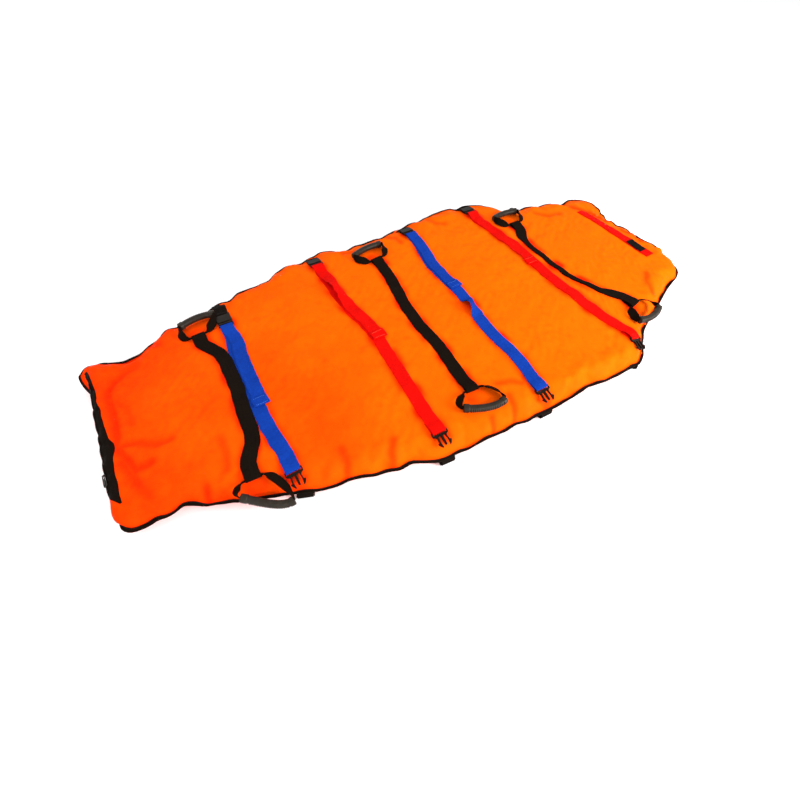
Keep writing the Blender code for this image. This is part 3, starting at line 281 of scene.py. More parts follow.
class Look:
    """A Principled material whose colour, roughness and relief follow its nodes."""

    def __init__(self, name, colour, roughness, metallic=0.0, specular=0.5):
        self.mat = bpy.data.materials.new(name)
        self.mat.use_nodes = True
        self.tree = self.mat.node_tree
        self.shader = self.tree.nodes["Principled BSDF"]
        for key, value in (("Base Color", (*colour, 1)), ("Roughness", roughness),
                           ("Metallic", metallic), ("Specular IOR Level", specular)):
            self.shader.inputs[key].default_value = value
        self.coords = self.node("ShaderNodeTexCoord").outputs

    def node(self, kind, inputs=None, **settings):
        """A shader node with its settings, and values or links for its inputs."""
        made = self.tree.nodes.new(kind)
        for key, value in settings.items():
            setattr(made, key, value)
        for key, value in (inputs or {}).items():
            if isinstance(value, bpy.types.NodeSocket):
                self.tree.links.new(value, made.inputs[key])
            else:
                made.inputs[key].default_value = value
        return made

    def noise(self, scale, detail, rough=0.5):
        """A noise texture on the piece's own coordinates, in metres."""
        return self.node("ShaderNodeTexNoise", {"Vector": self.coords["Object"], "Scale": scale,
                                                "Detail": detail, "Roughness": rough}).outputs["Fac"]

    def split(self, kind):
        """The X and Y of a kind of coordinates."""
        return self.node("ShaderNodeSeparateXYZ", {0: self.coords[kind]}).outputs[:2]

    def attribute(self, name):
        """A value that the mesh carries."""
        return self.node("ShaderNodeAttribute", attribute_name=name).outputs["Fac"]

    def ramp(self, fac, *stops):
        """A colour ramp of (place, colour) stops."""
        made = self.node("ShaderNodeValToRGB", {"Fac": fac})
        while len(made.color_ramp.elements) < len(stops):
            made.color_ramp.elements.new(0.5)
        for element, (place, colour) in zip(made.color_ramp.elements, stops):
            element.position = place
            element.color = (*colour, 1)
        return made.outputs["Color"]

    def mixed(self, fac, first, second):
        """Two colours mixed by a factor."""
        return self.node("ShaderNodeMix", {"Factor": fac, 6: first, 7: second}, data_type="RGBA").outputs[2]

    def maths(self, operation, first, second=0.0):
        """A maths node on sockets or numbers."""
        return self.node("ShaderNodeMath", {0: first, 1: second}, operation=operation).outputs[0]

    def scaled(self, value, factor, shift=0.0):
        """A value times a factor, plus a shift."""
        made = self.maths("MULTIPLY", value, factor)
        return self.maths("ADD", made, shift) if shift else made

    def sine(self, value, period):
        """A sine wave along a value."""
        return self.maths("SINE", self.scaled(value, 2 * pi / period))

    def finish(self, colour, rough=None, heights=()):
        """Use a colour, a roughness (factor, low, high) and bumps (height, strength, distance)."""
        link, inputs = self.tree.links.new, self.shader.inputs
        link(colour, inputs["Base Color"])
        if rough:
            made = self.node("ShaderNodeMapRange", dict(zip(("Value", "To Min", "To Max"), rough)))
            link(made.outputs["Result"], inputs["Roughness"])
        normal = None
        for height in heights:
            made = self.node("ShaderNodeBump", dict(zip(("Height", "Strength", "Distance"), height)))
            if normal:
                link(normal, made.inputs["Normal"])
            normal = made.outputs["Normal"]
            link(normal, inputs["Normal"])
        return self.mat


def times(colour, factor, shift=0.0):
    """A colour made lighter or darker."""
    return tuple(min(1.0, c * factor + shift) for c in colour)


def cover_material():
    """Coated orange fabric: fine weave, satin sheen, painted shade in folds, by the seams and beside the
    straps.
    """
    look = Look("coated_orange", (0.95, 0.085, 0.002), 0.5, specular=0.004)
    broad, fine = look.noise(3.2, 4), look.noise(38, 5, 0.6)
    x, y = look.split("Object")
    # Painted light falloff: the colour darkens and reddens towards the foot end (low X) and pales towards the
    # head, over random broad tone.
    tone_and_painted_falloff = look.maths("ADD", look.scaled(broad, 0.2, 0.40), look.scaled(x, 0.17))
    plain = look.ramp(tone_and_painted_falloff, (0.33, (0.96, 0.026, 0.0004)), (0.37, (0.97, 0.038, 0.0005)),
                      (0.45, (0.98, 0.104, 0.0008)), (0.60, (0.98, 0.128, 0.0010)))
    worn = look.ramp(fine, (0.25, (0.94, 0.058, 0.0006)), (0.50, (0.97, 0.086, 0.0010)),
                     (0.75, (0.99, 0.112, 0.0016)))
    # A darker, redder orange for the painted shade in folds, by the seams and beside the straps, and for
    # random darker patches.
    deep = look.ramp(fine, (0.2, (0.90, 0.010, 0.0006)), (0.8, (0.96, 0.024, 0.001)))
    weave = look.maths("MULTIPLY", look.sine(x, 0.0016), look.sine(y, 0.0016))
    crumple = look.node("ShaderNodeTexVoronoi", {"Vector": look.coords["Object"], "Scale": 26},
                        feature="SMOOTH_F1").outputs["Distance"]
    # The mesh's deep value places that painted shade and the random patches.
    colour = look.mixed(look.attribute("deep"), look.mixed(0.28, plain, worn), deep)
    return look.finish(colour, (fine, 0.40, 0.62), ((weave, 0.25, 0.0002), (fine, 0.35, 0.0012),
                                                    (crumple, 0.22, 0.003), (broad, 0.4, 0.006)))


def webbing_material(name, colour, dark):
    """Woven webbing: ribs across it and a herringbone along it, on its own length and width."""
    look = Look(name, colour, 0.72, specular=0.03)
    across, along = look.split("UV")
    ribs = look.sine(look.maths("ADD", along, look.maths("PINGPONG", across, 0.005)), 0.0017)
    lines = look.sine(across, 0.0025)
    broad, fine = look.noise(12, 3), look.noise(160, 4, 0.6)
    thread = look.maths("ADD", look.scaled(ribs, 0.12), look.scaled(fine, 0.4, 0.25))
    shade = look.maths("ADD", thread, look.scaled(look.maths("SUBTRACT", broad, 0.5), 0.4))
    return look.finish(look.ramp(shade, (0.15, dark), (0.45, colour), (0.80, times(colour, 1.25, 0.002))),
                       (fine, 0.62, 0.86), ((ribs, 0.5, 0.0003), (lines, 0.25, 0.0002), (fine, 0.3, 0.0004)))


def moulded_material(name, colour, roughness, grain, specular=0.3):
    """Moulded plastic or rubber: a fine grain, with paler, smoother worn patches."""
    look = Look(name, colour, roughness, specular=specular)
    fine, wear = look.noise(grain, 3, 0.6), look.noise(55, 5, 0.65)
    tone = look.ramp(wear, (0.30, times(colour, 0.75)), (0.55, colour), (0.82, times(colour, 2.3, 0.003)))
    return look.finish(tone, (wear, roughness + 0.10, roughness - 0.08),
                       ((fine, 0.22, 0.0003), (wear, 0.15, 0.0006)))


def metal_material(name, colour, roughness):
    """Plated metal with fine scratches."""
    look = Look(name, colour, roughness, metallic=1.0)
    fine, wear = look.noise(900, 2), look.noise(120, 4)
    return look.finish(look.ramp(wear, (0.3, times(colour, 0.7)), (0.7, colour)),
                       (wear, roughness - 0.08, roughness + 0.15), ((fine, 0.15, 0.0002),))


def floor_material():
    """A plain pale floor."""
    look = Look("pale_floor", (0.99, 0.99, 0.99), 0.85)
    return look.finish(look.ramp(look.noise(1.5, 2), (0.3, (0.985, 0.985, 0.985)), (0.7, (1.0, 1.0, 1.0))))


def grip_material():
    """Moulded rubber, paler on its rib crests and darker in the grooves between them."""
    look = Look("grip_rubber_look", (0.020, 0.015, 0.011), 0.34, specular=0.13)
    fine, wear = look.noise(520, 3, 0.6), look.noise(55, 5, 0.65)
    rib = look.attribute("rib")
    base = look.ramp(wear, (0.30, (0.013, 0.009, 0.006)), (0.55, (0.022, 0.016, 0.011)),
                     (0.82, (0.060, 0.050, 0.038)))
    # Darker in the grooves between the ribs, paler on their crests.
    groove = look.mixed(look.maths("MAXIMUM", look.scaled(rib, -1.0), 0.0), base,
                        look.ramp(wear, (0.3, (0.004, 0.003, 0.002)), (0.8, (0.008, 0.006, 0.004))))
    crest_colour = look.ramp(wear, (0.3, (0.022, 0.015, 0.009)), (0.8, (0.080, 0.060, 0.042)))
    return look.finish(look.mixed(look.maths("MAXIMUM", rib, 0.0), groove, crest_colour), (wear, 0.52, 0.34),
                       ((fine, 0.22, 0.0003), (wear, 0.15, 0.0006)))


BLACK_WEB = (0.0060, 0.0030, 0.0014), (0.0025, 0.0013, 0.0007)
MATS = {
    "cover": cover_material(),
    "black": webbing_material("black_webbing_look", *BLACK_WEB),
    "blue": webbing_material("blue_webbing_look", (0.004, 0.038, 0.30), (0.0015, 0.012, 0.11)),
    "red": webbing_material("red_webbing_look", (0.66, 0.0020, 0.0003), (0.38, 0.0008, 0.0002)),
    "binding": webbing_material("binding_tape_look", *BLACK_WEB),
    "grip": grip_material(),
    "plastic": moulded_material("buckle_plastic_look", (0.0085, 0.0050, 0.0030), 0.38, 700.0, 0.07),
    "valve": moulded_material("valve_plastic_look", (0.016, 0.014, 0.013), 0.42, 600.0),
    "plunger": moulded_material("plunger_plastic_look", (0.55, 0.02, 0.01), 0.45, 500.0),
    "bladder": moulded_material("bladder_film_look", (0.20, 0.22, 0.24), 0.35, 90.0),
    "beads": moulded_material("beads_look", (0.80, 0.80, 0.77), 0.85, 260.0),
    "hooks": moulded_material("hook_patch_look", (0.0050, 0.0040, 0.0035), 0.80, 1500.0, 0.04),
    "metal": metal_material("zip_metal_look", (0.060, 0.055, 0.050), 0.34),
    "thread_dark": moulded_material("dark_thread_look", (0.02, 0.015, 0.012), 0.70, 2000.0),
    "thread_blue": moulded_material("blue_thread_look", (0.06, 0.20, 0.66), 0.70, 2000.0),
    "thread_red": moulded_material("red_thread_look", (0.95, 0.10, 0.04), 0.70, 2000.0),
}


def add_piece(name, mesh, mat, body, replaced=(), smooth=True):
    """Link a mesh as a piece that rides on a body, with one of the materials."""
    obj = bpy.data.objects.new(name, mesh)
    bpy.context.scene.collection.objects.link(obj)
    mesh.materials.clear()
    mesh.materials.append(MATS[mat])
    if smooth:
        mesh.shade_smooth()
        mesh.set_sharp_from_angle(angle=radians(50))
    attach(obj, body)
    if replaced:
        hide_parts(*replaced)
    return obj


def mesh_of(name, verts, faces):
    """A mesh whose faces point out."""
    mesh = bpy.data.meshes.new(name)
    mesh.from_pydata([tuple(v) for v in verts], [], [tuple(int(i) for i in f) for f in faces])
    bm = bmesh.new()
    bm.from_mesh(mesh)
    bm.normal_update()
    bmesh.ops.recalc_face_normals(bm, faces=bm.faces)
    if bm.calc_volume(signed=True) < 0:
        bmesh.ops.reverse_faces(bm, faces=bm.faces)
    bm.to_mesh(mesh)
    bm.free()
    return mesh


def band(low, high, size):
    """Faces between two rings of size points, whose first points are numbers low and high."""
    return [(low + k, low + (k + 1) % size, high + (k + 1) % size, high + k) for k in range(size)]


def tube_faces(count, size, start=0, closed=False):
    """Faces of a tube of rings that closes on itself, or else has an end face at both ends."""
    faces = []
    for i in range(count if closed else count - 1):
        faces += band(start + i * size, start + (i + 1) % count * size, size)
    if not closed:
        last = start + (count - 1) * size
        faces += [tuple(range(start, start + size))[::-1], tuple(range(last, last + size))]
    return faces


def ringed_piece(name, rings, mat, replaced=(), body="mattress", uvs=None, closed=False):
    """A piece made of rings of points, with (across, along) in metres as its UVs."""
    verts = [point for ring in rings for point in ring]
    mesh = mesh_of(name, verts, tube_faces(len(rings), len(rings[0]), closed=closed))
    if uvs:
        layer = mesh.uv_layers.new(name="cloth")
        for loop in mesh.loops:
            layer.data[loop.index].uv = uvs[loop.vertex_index]
    return add_piece(name, mesh, mat, body, replaced)


# ---------------------------------------------------------------- camera, light, floor

camera_data = bpy.data.cameras.new("camera")
camera = bpy.data.objects.new("camera", camera_data)
bpy.context.scene.collection.objects.link(camera)
camera_data.sensor_width = 36.0
camera_data.lens = 19.8
camera_data.clip_start = 0.05
camera_data.clip_end = 60.0
tilt = (Matrix.Rotation(radians(-28.75), 4, "Z") @ Matrix.Rotation(radians(36.0), 4, "X")
        @ Matrix.Rotation(radians(-0.40), 4, "Y"))
camera.matrix_world = Matrix.Translation((-0.5726, -0.8892, 1.0580)) @ tilt
bpy.context.scene.camera = camera

world = bpy.data.worlds.new("studio")
bpy.context.scene.world = world
world.use_nodes = True
world.node_tree.nodes["Background"].inputs["Color"].default_value = (1.0, 1.0, 1.0, 1)
world.node_tree.nodes["Background"].inputs["Strength"].default_value = 0.93

# Soft square lights: name, place, the point they are aimed at, size and power
for name, place, target, size, power in (("key", (1.7, -2.4, 1.25), (0.35, -0.10, 0.0), 1.2, 140),
                                         ("back", (-1.8, 3.6, 2.8), (-1.5, 2.7, 0.0), 3.0, 70),
                                         ("fill", (-1.9, -2.3, 1.7), (-0.9, -0.6, 0.0), 1.5, 32)):
    lamp = bpy.data.lights.new(name, "AREA")
    lamp.shape, lamp.size, lamp.energy = "SQUARE", size, power
    light = bpy.data.objects.new(name, lamp)
    bpy.context.scene.collection.objects.link(light)
    light.location = place
    light.rotation_euler = (Vector(target) - Vector(place)).to_track_quat("-Z", "Y").to_euler()

FLOOR_REACH, FLOOR_LEVEL = 9, -0.0006
floor_mesh = bpy.data.meshes.new("floor")
floor_mesh.from_pydata([(x * FLOOR_REACH, y * FLOOR_REACH, FLOOR_LEVEL)
                        for x, y in ((-1, -1), (1, -1), (1, 1), (-1, 1))], [], [(0, 1, 2, 3)])
floor = bpy.data.objects.new("floor", floor_mesh)
floor_mesh.materials.append(floor_material())
bpy.context.scene.collection.objects.link(floor)
bpy.context.scene.view_settings.view_transform = "Standard"

# ---------------------------------------------------------------- mattress cover

# How far the limp edge lies outside the even plan, in mm, at places along X
EDGE_FAR = ((-1, 7), (-0.979, 8), (-0.94, 9), (-0.914, 2), (-0.86, -14), (-0.82, -17), (-0.798, -9),
            (-0.765, 5), (-0.73, 7), (-0.69, -14), (-0.666, -20), (-0.64, -22), (-0.61, -9), (-0.59, -3),
            (-0.551, -6), (-0.52, -11), (-0.48, -5), (-0.459, -5), (-0.43, -4), (-0.401, -5), (-0.37, -8),
            (-0.33, 7), (-0.31, 10), (-0.27, 13), (-0.24, 12), (-0.19, 24), (-0.15, 24), (-0.11, 9),
            (-0.07, -2), (-0.047, -5), (0, -14), (0.019, -16), (0.054, -14), (0.09, -9), (0.13, -1),
            (0.15, 4), (0.17, 8), (0.207, 6), (0.24, 9), (0.287, 13), (0.34, 17), (0.37, 15), (0.39, 16),
            (0.411, 14), (0.45, 9), (0.485, 5), (0.51, -3), (0.555, 9), (0.59, 16), (0.615, -20),
            (0.65, -22), (0.69, 1), (0.72, 5), (0.74, -2), (0.783, -1), (0.82, 1), (0.85, -21), (0.9, -3),
            (0.94, -7), (1, -11))
EDGE_NEAR = ((-1, 18), (-0.96, 23), (-0.915, 25), (-0.88, 31), (-0.845, 23), (-0.82, 8), (-0.79, 9),
             (-0.764, 5), (-0.74, 2), (-0.711, -4), (-0.69, -6), (-0.6, -11), (-0.563, -13), (-0.547, -11),
             (-0.528, -7), (-0.5, -4), (-0.46, -13), (-0.42, -19), (-0.389, -18), (-0.35, -24),
             (-0.32, -18), (-0.302, -22), (-0.28, -26), (-0.26, -19), (-0.24, -11), (-0.2, -11),
             (-0.16, -16), (-0.12, -4), (-0.06, -4), (-0.023, -4), (0, -4), (0.037, -6), (0.07, 2),
             (0.111, -6), (0.13, -8), (0.176, -9), (0.2, -4), (0.233, -5), (0.266, -7), (0.3, -13),
             (0.331, -9), (0.37, -6), (0.389, -7), (0.422, -6), (0.455, -5), (0.5, -12), (0.565, 8),
             (0.64, 2), (0.74, -2), (0.84, -12), (0.9, -16), (1, -10))
EDGE_HEAD = ((-0.26, -4), (-0.21, -20), (-0.17, -28), (-0.12, -6), (-0.08, -22), (-0.03, -34), (0.0, -24),
             (0.05, -34), (0.10, -44), (0.14, -46), (0.20, -40), (0.25, -28), (0.30, -14))
X_TABLE = np.linspace(-LENGTH / 2, LENGTH / 2, 1601)
HALF_TABLE = np.array([half_width(x) for x in X_TABLE])
SLOPE_TABLE = np.gradient(HALF_TABLE, X_TABLE)
CORNER_POINTS = 7
COVER_ROWS = 72
MIDDLE_COUNT = 178
RINGS = (0.0, 0.004, 0.008, 0.012, 0.0135, 0.0165, 0.021, 0.027, 0.034, 0.042, 0.051, 0.061, 0.071, 0.082)
UNDER_SHARES = (0.0, 0.12, 0.26, 0.42, 0.60, 0.80, 1.0)
FLANGE_RINGS = (0.004, 0.008)
FLAT_RINGS = (0.104, 0.125)


def offset_at(table, x):
    """An edge's extra reach, in metres."""
    xs, ys = zip(*table)
    fine = np.linspace(xs[0], xs[-1], 900)
    curve = np.array([through_points(xs, ys, v) for v in fine])
    return np.interp(x, fine, curve) / 1000


def waves(x, y, length, seed, count=9):
    """A smooth random field of about unit size, with waves of about the given length."""
    rng = np.random.RandomState(seed)
    total = np.zeros_like(np.asarray(x, float))
    for _ in range(count):
        angle, stretch, phase = rng.uniform(0, 2 * pi), rng.uniform(0.65, 1.35), rng.uniform(0, 2 * pi)
        number = 2 * pi / (length * stretch)
        total = total + np.sin(number * (x * cos(angle) + y * sin(angle)) + phase)
    return total / sqrt(count / 2)


def fine_sides(inset):
    """X and half-widths of the plan's sides, drawn in by inset."""
    foot = max(FOOT_CORNER - inset, 0.006)
    head = max(HEAD_CORNER - inset, 0.006)
    turns = np.linspace(0, pi / 2, CORNER_POINTS + 1)
    low, high = -LENGTH / 2 + END_MARGIN, LENGTH / 2 - END_MARGIN

    def half(x):
        return np.interp(x, X_TABLE, HALF_TABLE)

    foot_x = -LENGTH / 2 + inset + foot * (1 - np.cos(turns))
    foot_half = half(foot_x) - inset - foot * (1 - np.sin(turns))
    head_x = LENGTH / 2 - inset - head * (1 - np.cos(turns[::-1]))
    head_half = half(head_x) - inset - head * (1 - np.sin(turns[::-1]))
    foot_lead = np.linspace(foot_x[-1], low, 8)[1:-1]
    head_lead = np.linspace(high, head_x[0], 6)[1:-1]
    middle = np.concatenate([foot_lead, np.linspace(low, high, MIDDLE_COUNT), head_lead])
    slope = np.interp(middle, X_TABLE, SLOPE_TABLE)
    ease = smooth_step(np.minimum((middle - foot_x[-1]) / 0.05, (head_x[0] - middle) / 0.05))
    middle_half = half(middle) - inset * (1 + (np.sqrt(1 + slope ** 2) - 1) * ease)
    return (np.concatenate([foot_x, middle, head_x]), np.concatenate([foot_half, middle_half, head_half]))


def fine_outline(inset):
    """The plan's closed outline drawn in by inset, anticlockwise from the near foot corner."""
    x, half = fine_sides(inset)
    middle = centre_y(x)
    near = np.stack([x, middle - half], 1)
    far = np.stack([x, middle + half], 1)
    shares = np.linspace(0, 1, COVER_ROWS + 1)[1:-1, None]
    head = near[-1] + (far[-1] - near[-1]) * shares
    foot = far[0] + (near[0] - far[0]) * shares
    return np.concatenate([near, head, far[::-1], foot])


SIDE_COUNT = len(fine_sides(0.0)[0])
RING_COUNT = 2 * SIDE_COUNT + 2 * (COVER_ROWS - 1)


def sides_of(ring):
    """A ring's near side, head end, far side and foot end, each by rising X or Y."""
    count = SIDE_COUNT
    return (ring[:count], ring[count:count + COVER_ROWS - 1],
            ring[count + COVER_ROWS - 1:2 * count + COVER_ROWS - 1][::-1],
            ring[2 * count + COVER_ROWS - 1:][::-1])


def fill_grid(ring):
    """Inner points of a ring, column by column, and the faces that join them to it."""
    near, head, far, foot = sides_of(list(range(RING_COUNT)))
    columns = [[near[0], *foot, far[0]]]
    points = []
    shares = np.linspace(0, 1, COVER_ROWS + 1)[1:-1]
    for i in range(1, SIDE_COUNT - 1):
        start = RING_COUNT + len(points)
        points += [ring[near[i]] * (1 - s) + ring[far[i]] * s for s in shares]
        columns.append([near[i], *range(start, start + COVER_ROWS - 1), far[i]])
    columns.append([near[-1], *head, far[-1]])
    faces = []
    for left, right in zip(columns, columns[1:]):
        faces += [(left[j], right[j], right[j + 1], left[j + 1]) for j in range(COVER_ROWS)]
    return np.array(points), faces


def reach_of(x, y):
    """How far a plan point's nearest edge lies outside the even plan, and in which direction."""
    across = y - centre_y(x)
    side = np.sign(across)
    shift = np.where(side > 0, offset_at(EDGE_FAR, x), offset_at(EDGE_NEAR, x))
    to_side = np.interp(x, X_TABLE, HALF_TABLE) - np.abs(across)
    at_side = smooth_step((0.16 - to_side) / 0.12)
    at_head = smooth_step((0.14 - (LENGTH / 2 - x)) / 0.11)
    corner = 1 - 0.5 * at_side * at_head
    return offset_at(EDGE_HEAD, y) * at_head * corner, side * shift * at_side * (1 - 0.4 * at_head)


def tucked(y):
    """Where along the foot end the wall bulges over the seam."""
    return smooth_step((y + 0.255) / 0.06) * smooth_step((0.285 - y) / 0.10)


FOOT_IN = 0.029
TUCK_INSETS = (0.0, 0.008, 0.012, 0.0135, 0.0165, 0.021, 0.027, 0.034)
TUCK_SHARES = (1.0, 0.98, 0.93, 0.78, 0.42, 0.12, 0.04, 0.0)


def foot_shift(x, y, depth):
    """How far the foot end is drawn in: the seam most, the wall over it least."""
    tuck = tucked(y)
    share = tuck * np.interp(depth, TUCK_INSETS, TUCK_SHARES) + (1 - tuck) * smooth_step(1 - depth / 0.055)
    return FOOT_IN * share * smooth_step((0.262 - y) / 0.10) * smooth_step((-0.80 - x) / 0.15)


# Folds of the loose skin, each a line of plan points, its width and its depth
CREASES = (
    (((-0.901, 0.178), (-0.925, 0.138), (-0.922, 0.09), (-0.921, 0.006), (-0.928, -0.059)), 0.010, 0.0050),
    (((-0.928, -0.059), (-0.911, -0.101), (-0.898, -0.139), (-0.861, -0.134)), 0.010, 0.0050),
    (((-0.93, -0.05), (-0.88, -0.06), (-0.84, -0.09), (-0.80, -0.09)), 0.009, 0.0032),
    (((-0.899, 0.176), (-0.87, 0.20), (-0.838, 0.215)), 0.010, 0.0030),
    (((-0.925, -0.10), (-0.90, -0.18), (-0.88, -0.225)), 0.010, 0.0035),
    (((-0.91, 0.10), (-0.885, 0.06), (-0.88, 0.0)), 0.008, 0.0022),
    (((-0.775, -0.335), (-0.772, -0.30), (-0.76, -0.265)), 0.008, 0.0040),
    (((-0.800, 0.33), (-0.79, 0.29), (-0.76, 0.26)), 0.009, 0.0030),
    (((-0.70, -0.25), (-0.69, -0.20), (-0.69, -0.15)), 0.009, 0.0022),
    (((-0.04, -0.47), (-0.03, -0.435)), 0.007, 0.0030),
    (((0.03, -0.47), (0.045, -0.43), (0.05, -0.40)), 0.007, 0.0030),
    (((0.045, -0.35), (0.085, -0.36), (0.11, -0.38)), 0.008, 0.0025),
    (((-0.45, -0.41), (-0.43, -0.37), (-0.43, -0.33)), 0.009, 0.0030),
    (((-0.33, -0.44), (-0.32, -0.40), (-0.30, -0.37)), 0.009, 0.0030),
    (((-0.10, 0.44), (-0.08, 0.41), (-0.04, 0.40)), 0.008, 0.0025),
    (((0.10, 0.43), (0.13, 0.40), (0.13, 0.36)), 0.009, 0.0025),
    (((0.30, 0.45), (0.31, 0.41), (0.34, 0.39)), 0.009, 0.0022),
    (((0.93, 0.03), (0.945, -0.01), (0.94, -0.06)), 0.010, 0.0035),
    (((0.86, 0.24), (0.90, 0.19), (0.93, 0.12)), 0.011, 0.0035),
    (((0.75, -0.28), (0.77, -0.23), (0.80, -0.20)), 0.009, 0.0028),
    (((0.70, 0.28), (0.73, 0.24), (0.78, 0.23)), 0.009, 0.0022),
)


def crease_field(x, y):
    """Depth of the folds at plan points, and how much painted shade darkens their colour."""
    fall, tone = np.zeros_like(x), np.zeros_like(x)
    for line, width, depth in CREASES:
        best = np.full_like(x, 9.0)
        for (ax, ay), (bx, by) in zip(line, line[1:]):
            length = (bx - ax) ** 2 + (by - ay) ** 2
            share = np.clip(((x - ax) * (bx - ax) + (y - ay) * (by - ay)) / length, 0, 1)
            best = np.minimum(best, np.hypot(x - ax - share * (bx - ax), y - ay - share * (by - ay)))
        rim = hump(best, 2.1 * width, 0.9 * width)
        fall = np.maximum(fall, depth * hump(best, 0, width)) - depth * 0.22 * rim
        # Painted shade along each fold, stronger for deeper folds.
        tone = np.maximum(tone, hump(best, 0, 1.5 * width) * min(1.0, depth / 0.004))
    return fall, tone


def seam_lift(x, y):
    """How much higher the seam lies than in the even plan."""
    across = y - centre_y(x)
    far = smooth_step((across + 0.05) / 0.15)
    near = 1 - far
    # Up on the far side, more towards the head, but not by the valve
    lift = 0.0155 * far * smooth_step((x + 1.0) / 0.10)
    lift = lift + 0.0065 * far * smooth_step((x + 0.1) / 0.25)
    lift = lift * (1 - 0.95 * hump(x, 0.662, 0.040) * far)
    lift = lift + 0.0030 * waves(x, y, 0.13, 4) + 0.0022 * waves(x, y, 0.055, 5)
    # Down at the foot end, up at the head end, and a little along the near side towards the head
    foot = smooth_step((-0.93 - x) / 0.05)
    lift = lift - 0.011 * foot * tucked(y) - 0.006 * foot * (1 - tucked(y)) * near
    lift = lift + 0.018 * smooth_step((x - 0.91) / 0.05) * smooth_step((y + 0.13) / 0.06) * (1 - far)
    lift = lift + near * 0.004 * smooth_step((x - 0.1) / 0.2)
    return np.clip(lift, -0.020, 0.024)


# Where buckles, handles and the valve lie: each a point and the reach round it
RIGID_SPOTS = [(Vector((0.656, 0.368, 0)), 0.030)]
HANDLE_SPOT, HANDLE_SPOT_REACH = 0.034, 0.050
SOCKET_SPOT, SOCKET_SPOT_REACH = 0.025, 0.040
CLIP_SPOT, CLIP_SPOT_REACH = 0.020, 0.034
TUCKED_SPOT_REACH = 0.030


def quiet(x, y):
    """1 where the cover may wave freely, 0 under buckles and handles."""
    keep = np.ones_like(x)
    for place, reach in RIGID_SPOTS:
        gap = np.hypot(x - place[0], y - place[1])
        keep = np.minimum(keep, smooth_step((gap - reach) / 0.035))
    return keep


bars = {}
for name, far_end, near_end, _ in CARRY_SETS:
    for where, side, (place, inset, turn) in (("far", 1, far_end), ("near", -1, near_end)):
        bar = bars[f"{name}_{where}"] = Bar(place, inset, side, LOOP_WRAP, turn)
        RIGID_SPOTS.append((bar.centre + bar.out * HANDLE_SPOT, HANDLE_SPOT_REACH))
for name, far_x, far_inset, near_x, near_inset, *_ in PATIENT_STRAPS:
    far = bars[f"{name}_far"] = Bar(far_x, far_inset, 1, BAR_WRAP, 0.0, TAB_BAR, SOCKET_THICK / 2)
    near = bars[f"{name}_near"] = Bar(near_x, near_inset, -1, BAR_WRAP)
    RIGID_SPOTS += [(far.centre + far.out * SOCKET_SPOT, SOCKET_SPOT_REACH),
                    (near.centre + near.out * CLIP_SPOT, CLIP_SPOT_REACH),
                    (Vector((near_x, edge_y(near_x, -1), 0)), TUCKED_SPOT_REACH)]


class Way:
    """The line that a strap follows over the top, from its far bar (share 0) to its near one."""

    def __init__(self, far, near, bends):
        self.far, self.near = far, near
        self.span = abs(far.y - near.y)
        straight = STRAIGHT_LEAD / self.span
        turns = [(share, place * LENGTH / 2) for share, place in bends]
        places = [(0.0, far.x), (straight, far.x), *turns, (1 - straight, near.x), (1.0, near.x)]
        self.shares = [share for share, _ in places]
        self.places = [x for _, x in places]

    def spot(self, share):
        """The plan point at a share of the way across."""
        return (through_points(self.shares, self.places, share),
                self.far.y + (self.near.y - self.far.y) * share)


ways = {name: Way(bars[f"{name}_far"], bars[f"{name}_near"], bends)
        for name, bends in [*((strap[0], strap[3]) for strap in CARRY_SETS),
                            *((strap[0], strap[5]) for strap in PATIENT_STRAPS)]}


def strap_gap(x, y):
    """Distance of plan points from the nearest strap's middle line."""
    best = np.full(np.shape(x), 9.0)
    for way in ways.values():
        shares = np.linspace(-0.02, 1.02, 60)
        xs = np.array([way.spot(s)[0] for s in shares])
        ys = np.array([way.spot(s)[1] for s in shares])
        line = np.interp(-y, -ys, xs)
        over = np.maximum(np.maximum(y - ys[0], ys[-1] - y), 0)
        best = np.minimum(best, np.hypot(x - line, over))
    return best


def build_cover():
    """The mattress's outer skin: seam, walls, crown and underside, as one closed mesh."""
    verts, depths = [], []

    def layer(plan, depth, z=0.0):
        verts.append(np.column_stack([plan, np.full(len(plan), z)]))
        depths.append(np.broadcast_to(depth, len(plan)))

    for inset in RINGS:
        layer(fine_outline(inset), inset)
    last = (len(RINGS) - 1) * RING_COUNT
    inner, fill = fill_grid(verts[-1][:, :2])
    layer(inner, edge_distance(inner[:, 0], inner[:, 1]))
    faces = []
    for low in range(0, last, RING_COUNT):
        faces += band(low, low + RING_COUNT, RING_COUNT)
    faces += [tuple(last + k for k in face) for face in fill]
    top_count = start = sum(len(v) for v in verts)
    under = [(inset, UNDER_TOP) for inset in FLANGE_RINGS]
    under += [(FLANGE + UNDER_RUN * share, UNDER_TOP * (1 - share) ** UNDER_CURVE) for share in UNDER_SHARES]
    under += [(inset, 0.0) for inset in FLAT_RINGS]
    previous = 0
    for inset, z in under:
        layer(fine_outline(inset), -inset, z)
        faces += [(b, a, d, c) for a, b, c, d in band(previous, start, RING_COUNT)]
        previous, start = start, start + RING_COUNT
    near, head, far, foot = sides_of([previous + i for i in range(RING_COUNT)])
    faces += [(near[i], far[i], far[i + 1], near[i + 1]) for i in range(1, SIDE_COUNT - 2)]
    faces.append((near[0], *foot, far[0], far[1], near[1]))
    faces.append((near[-2], far[-2], far[-1], *head[::-1], near[-1]))
    return np.concatenate(verts), faces, np.concatenate(depths), top_count


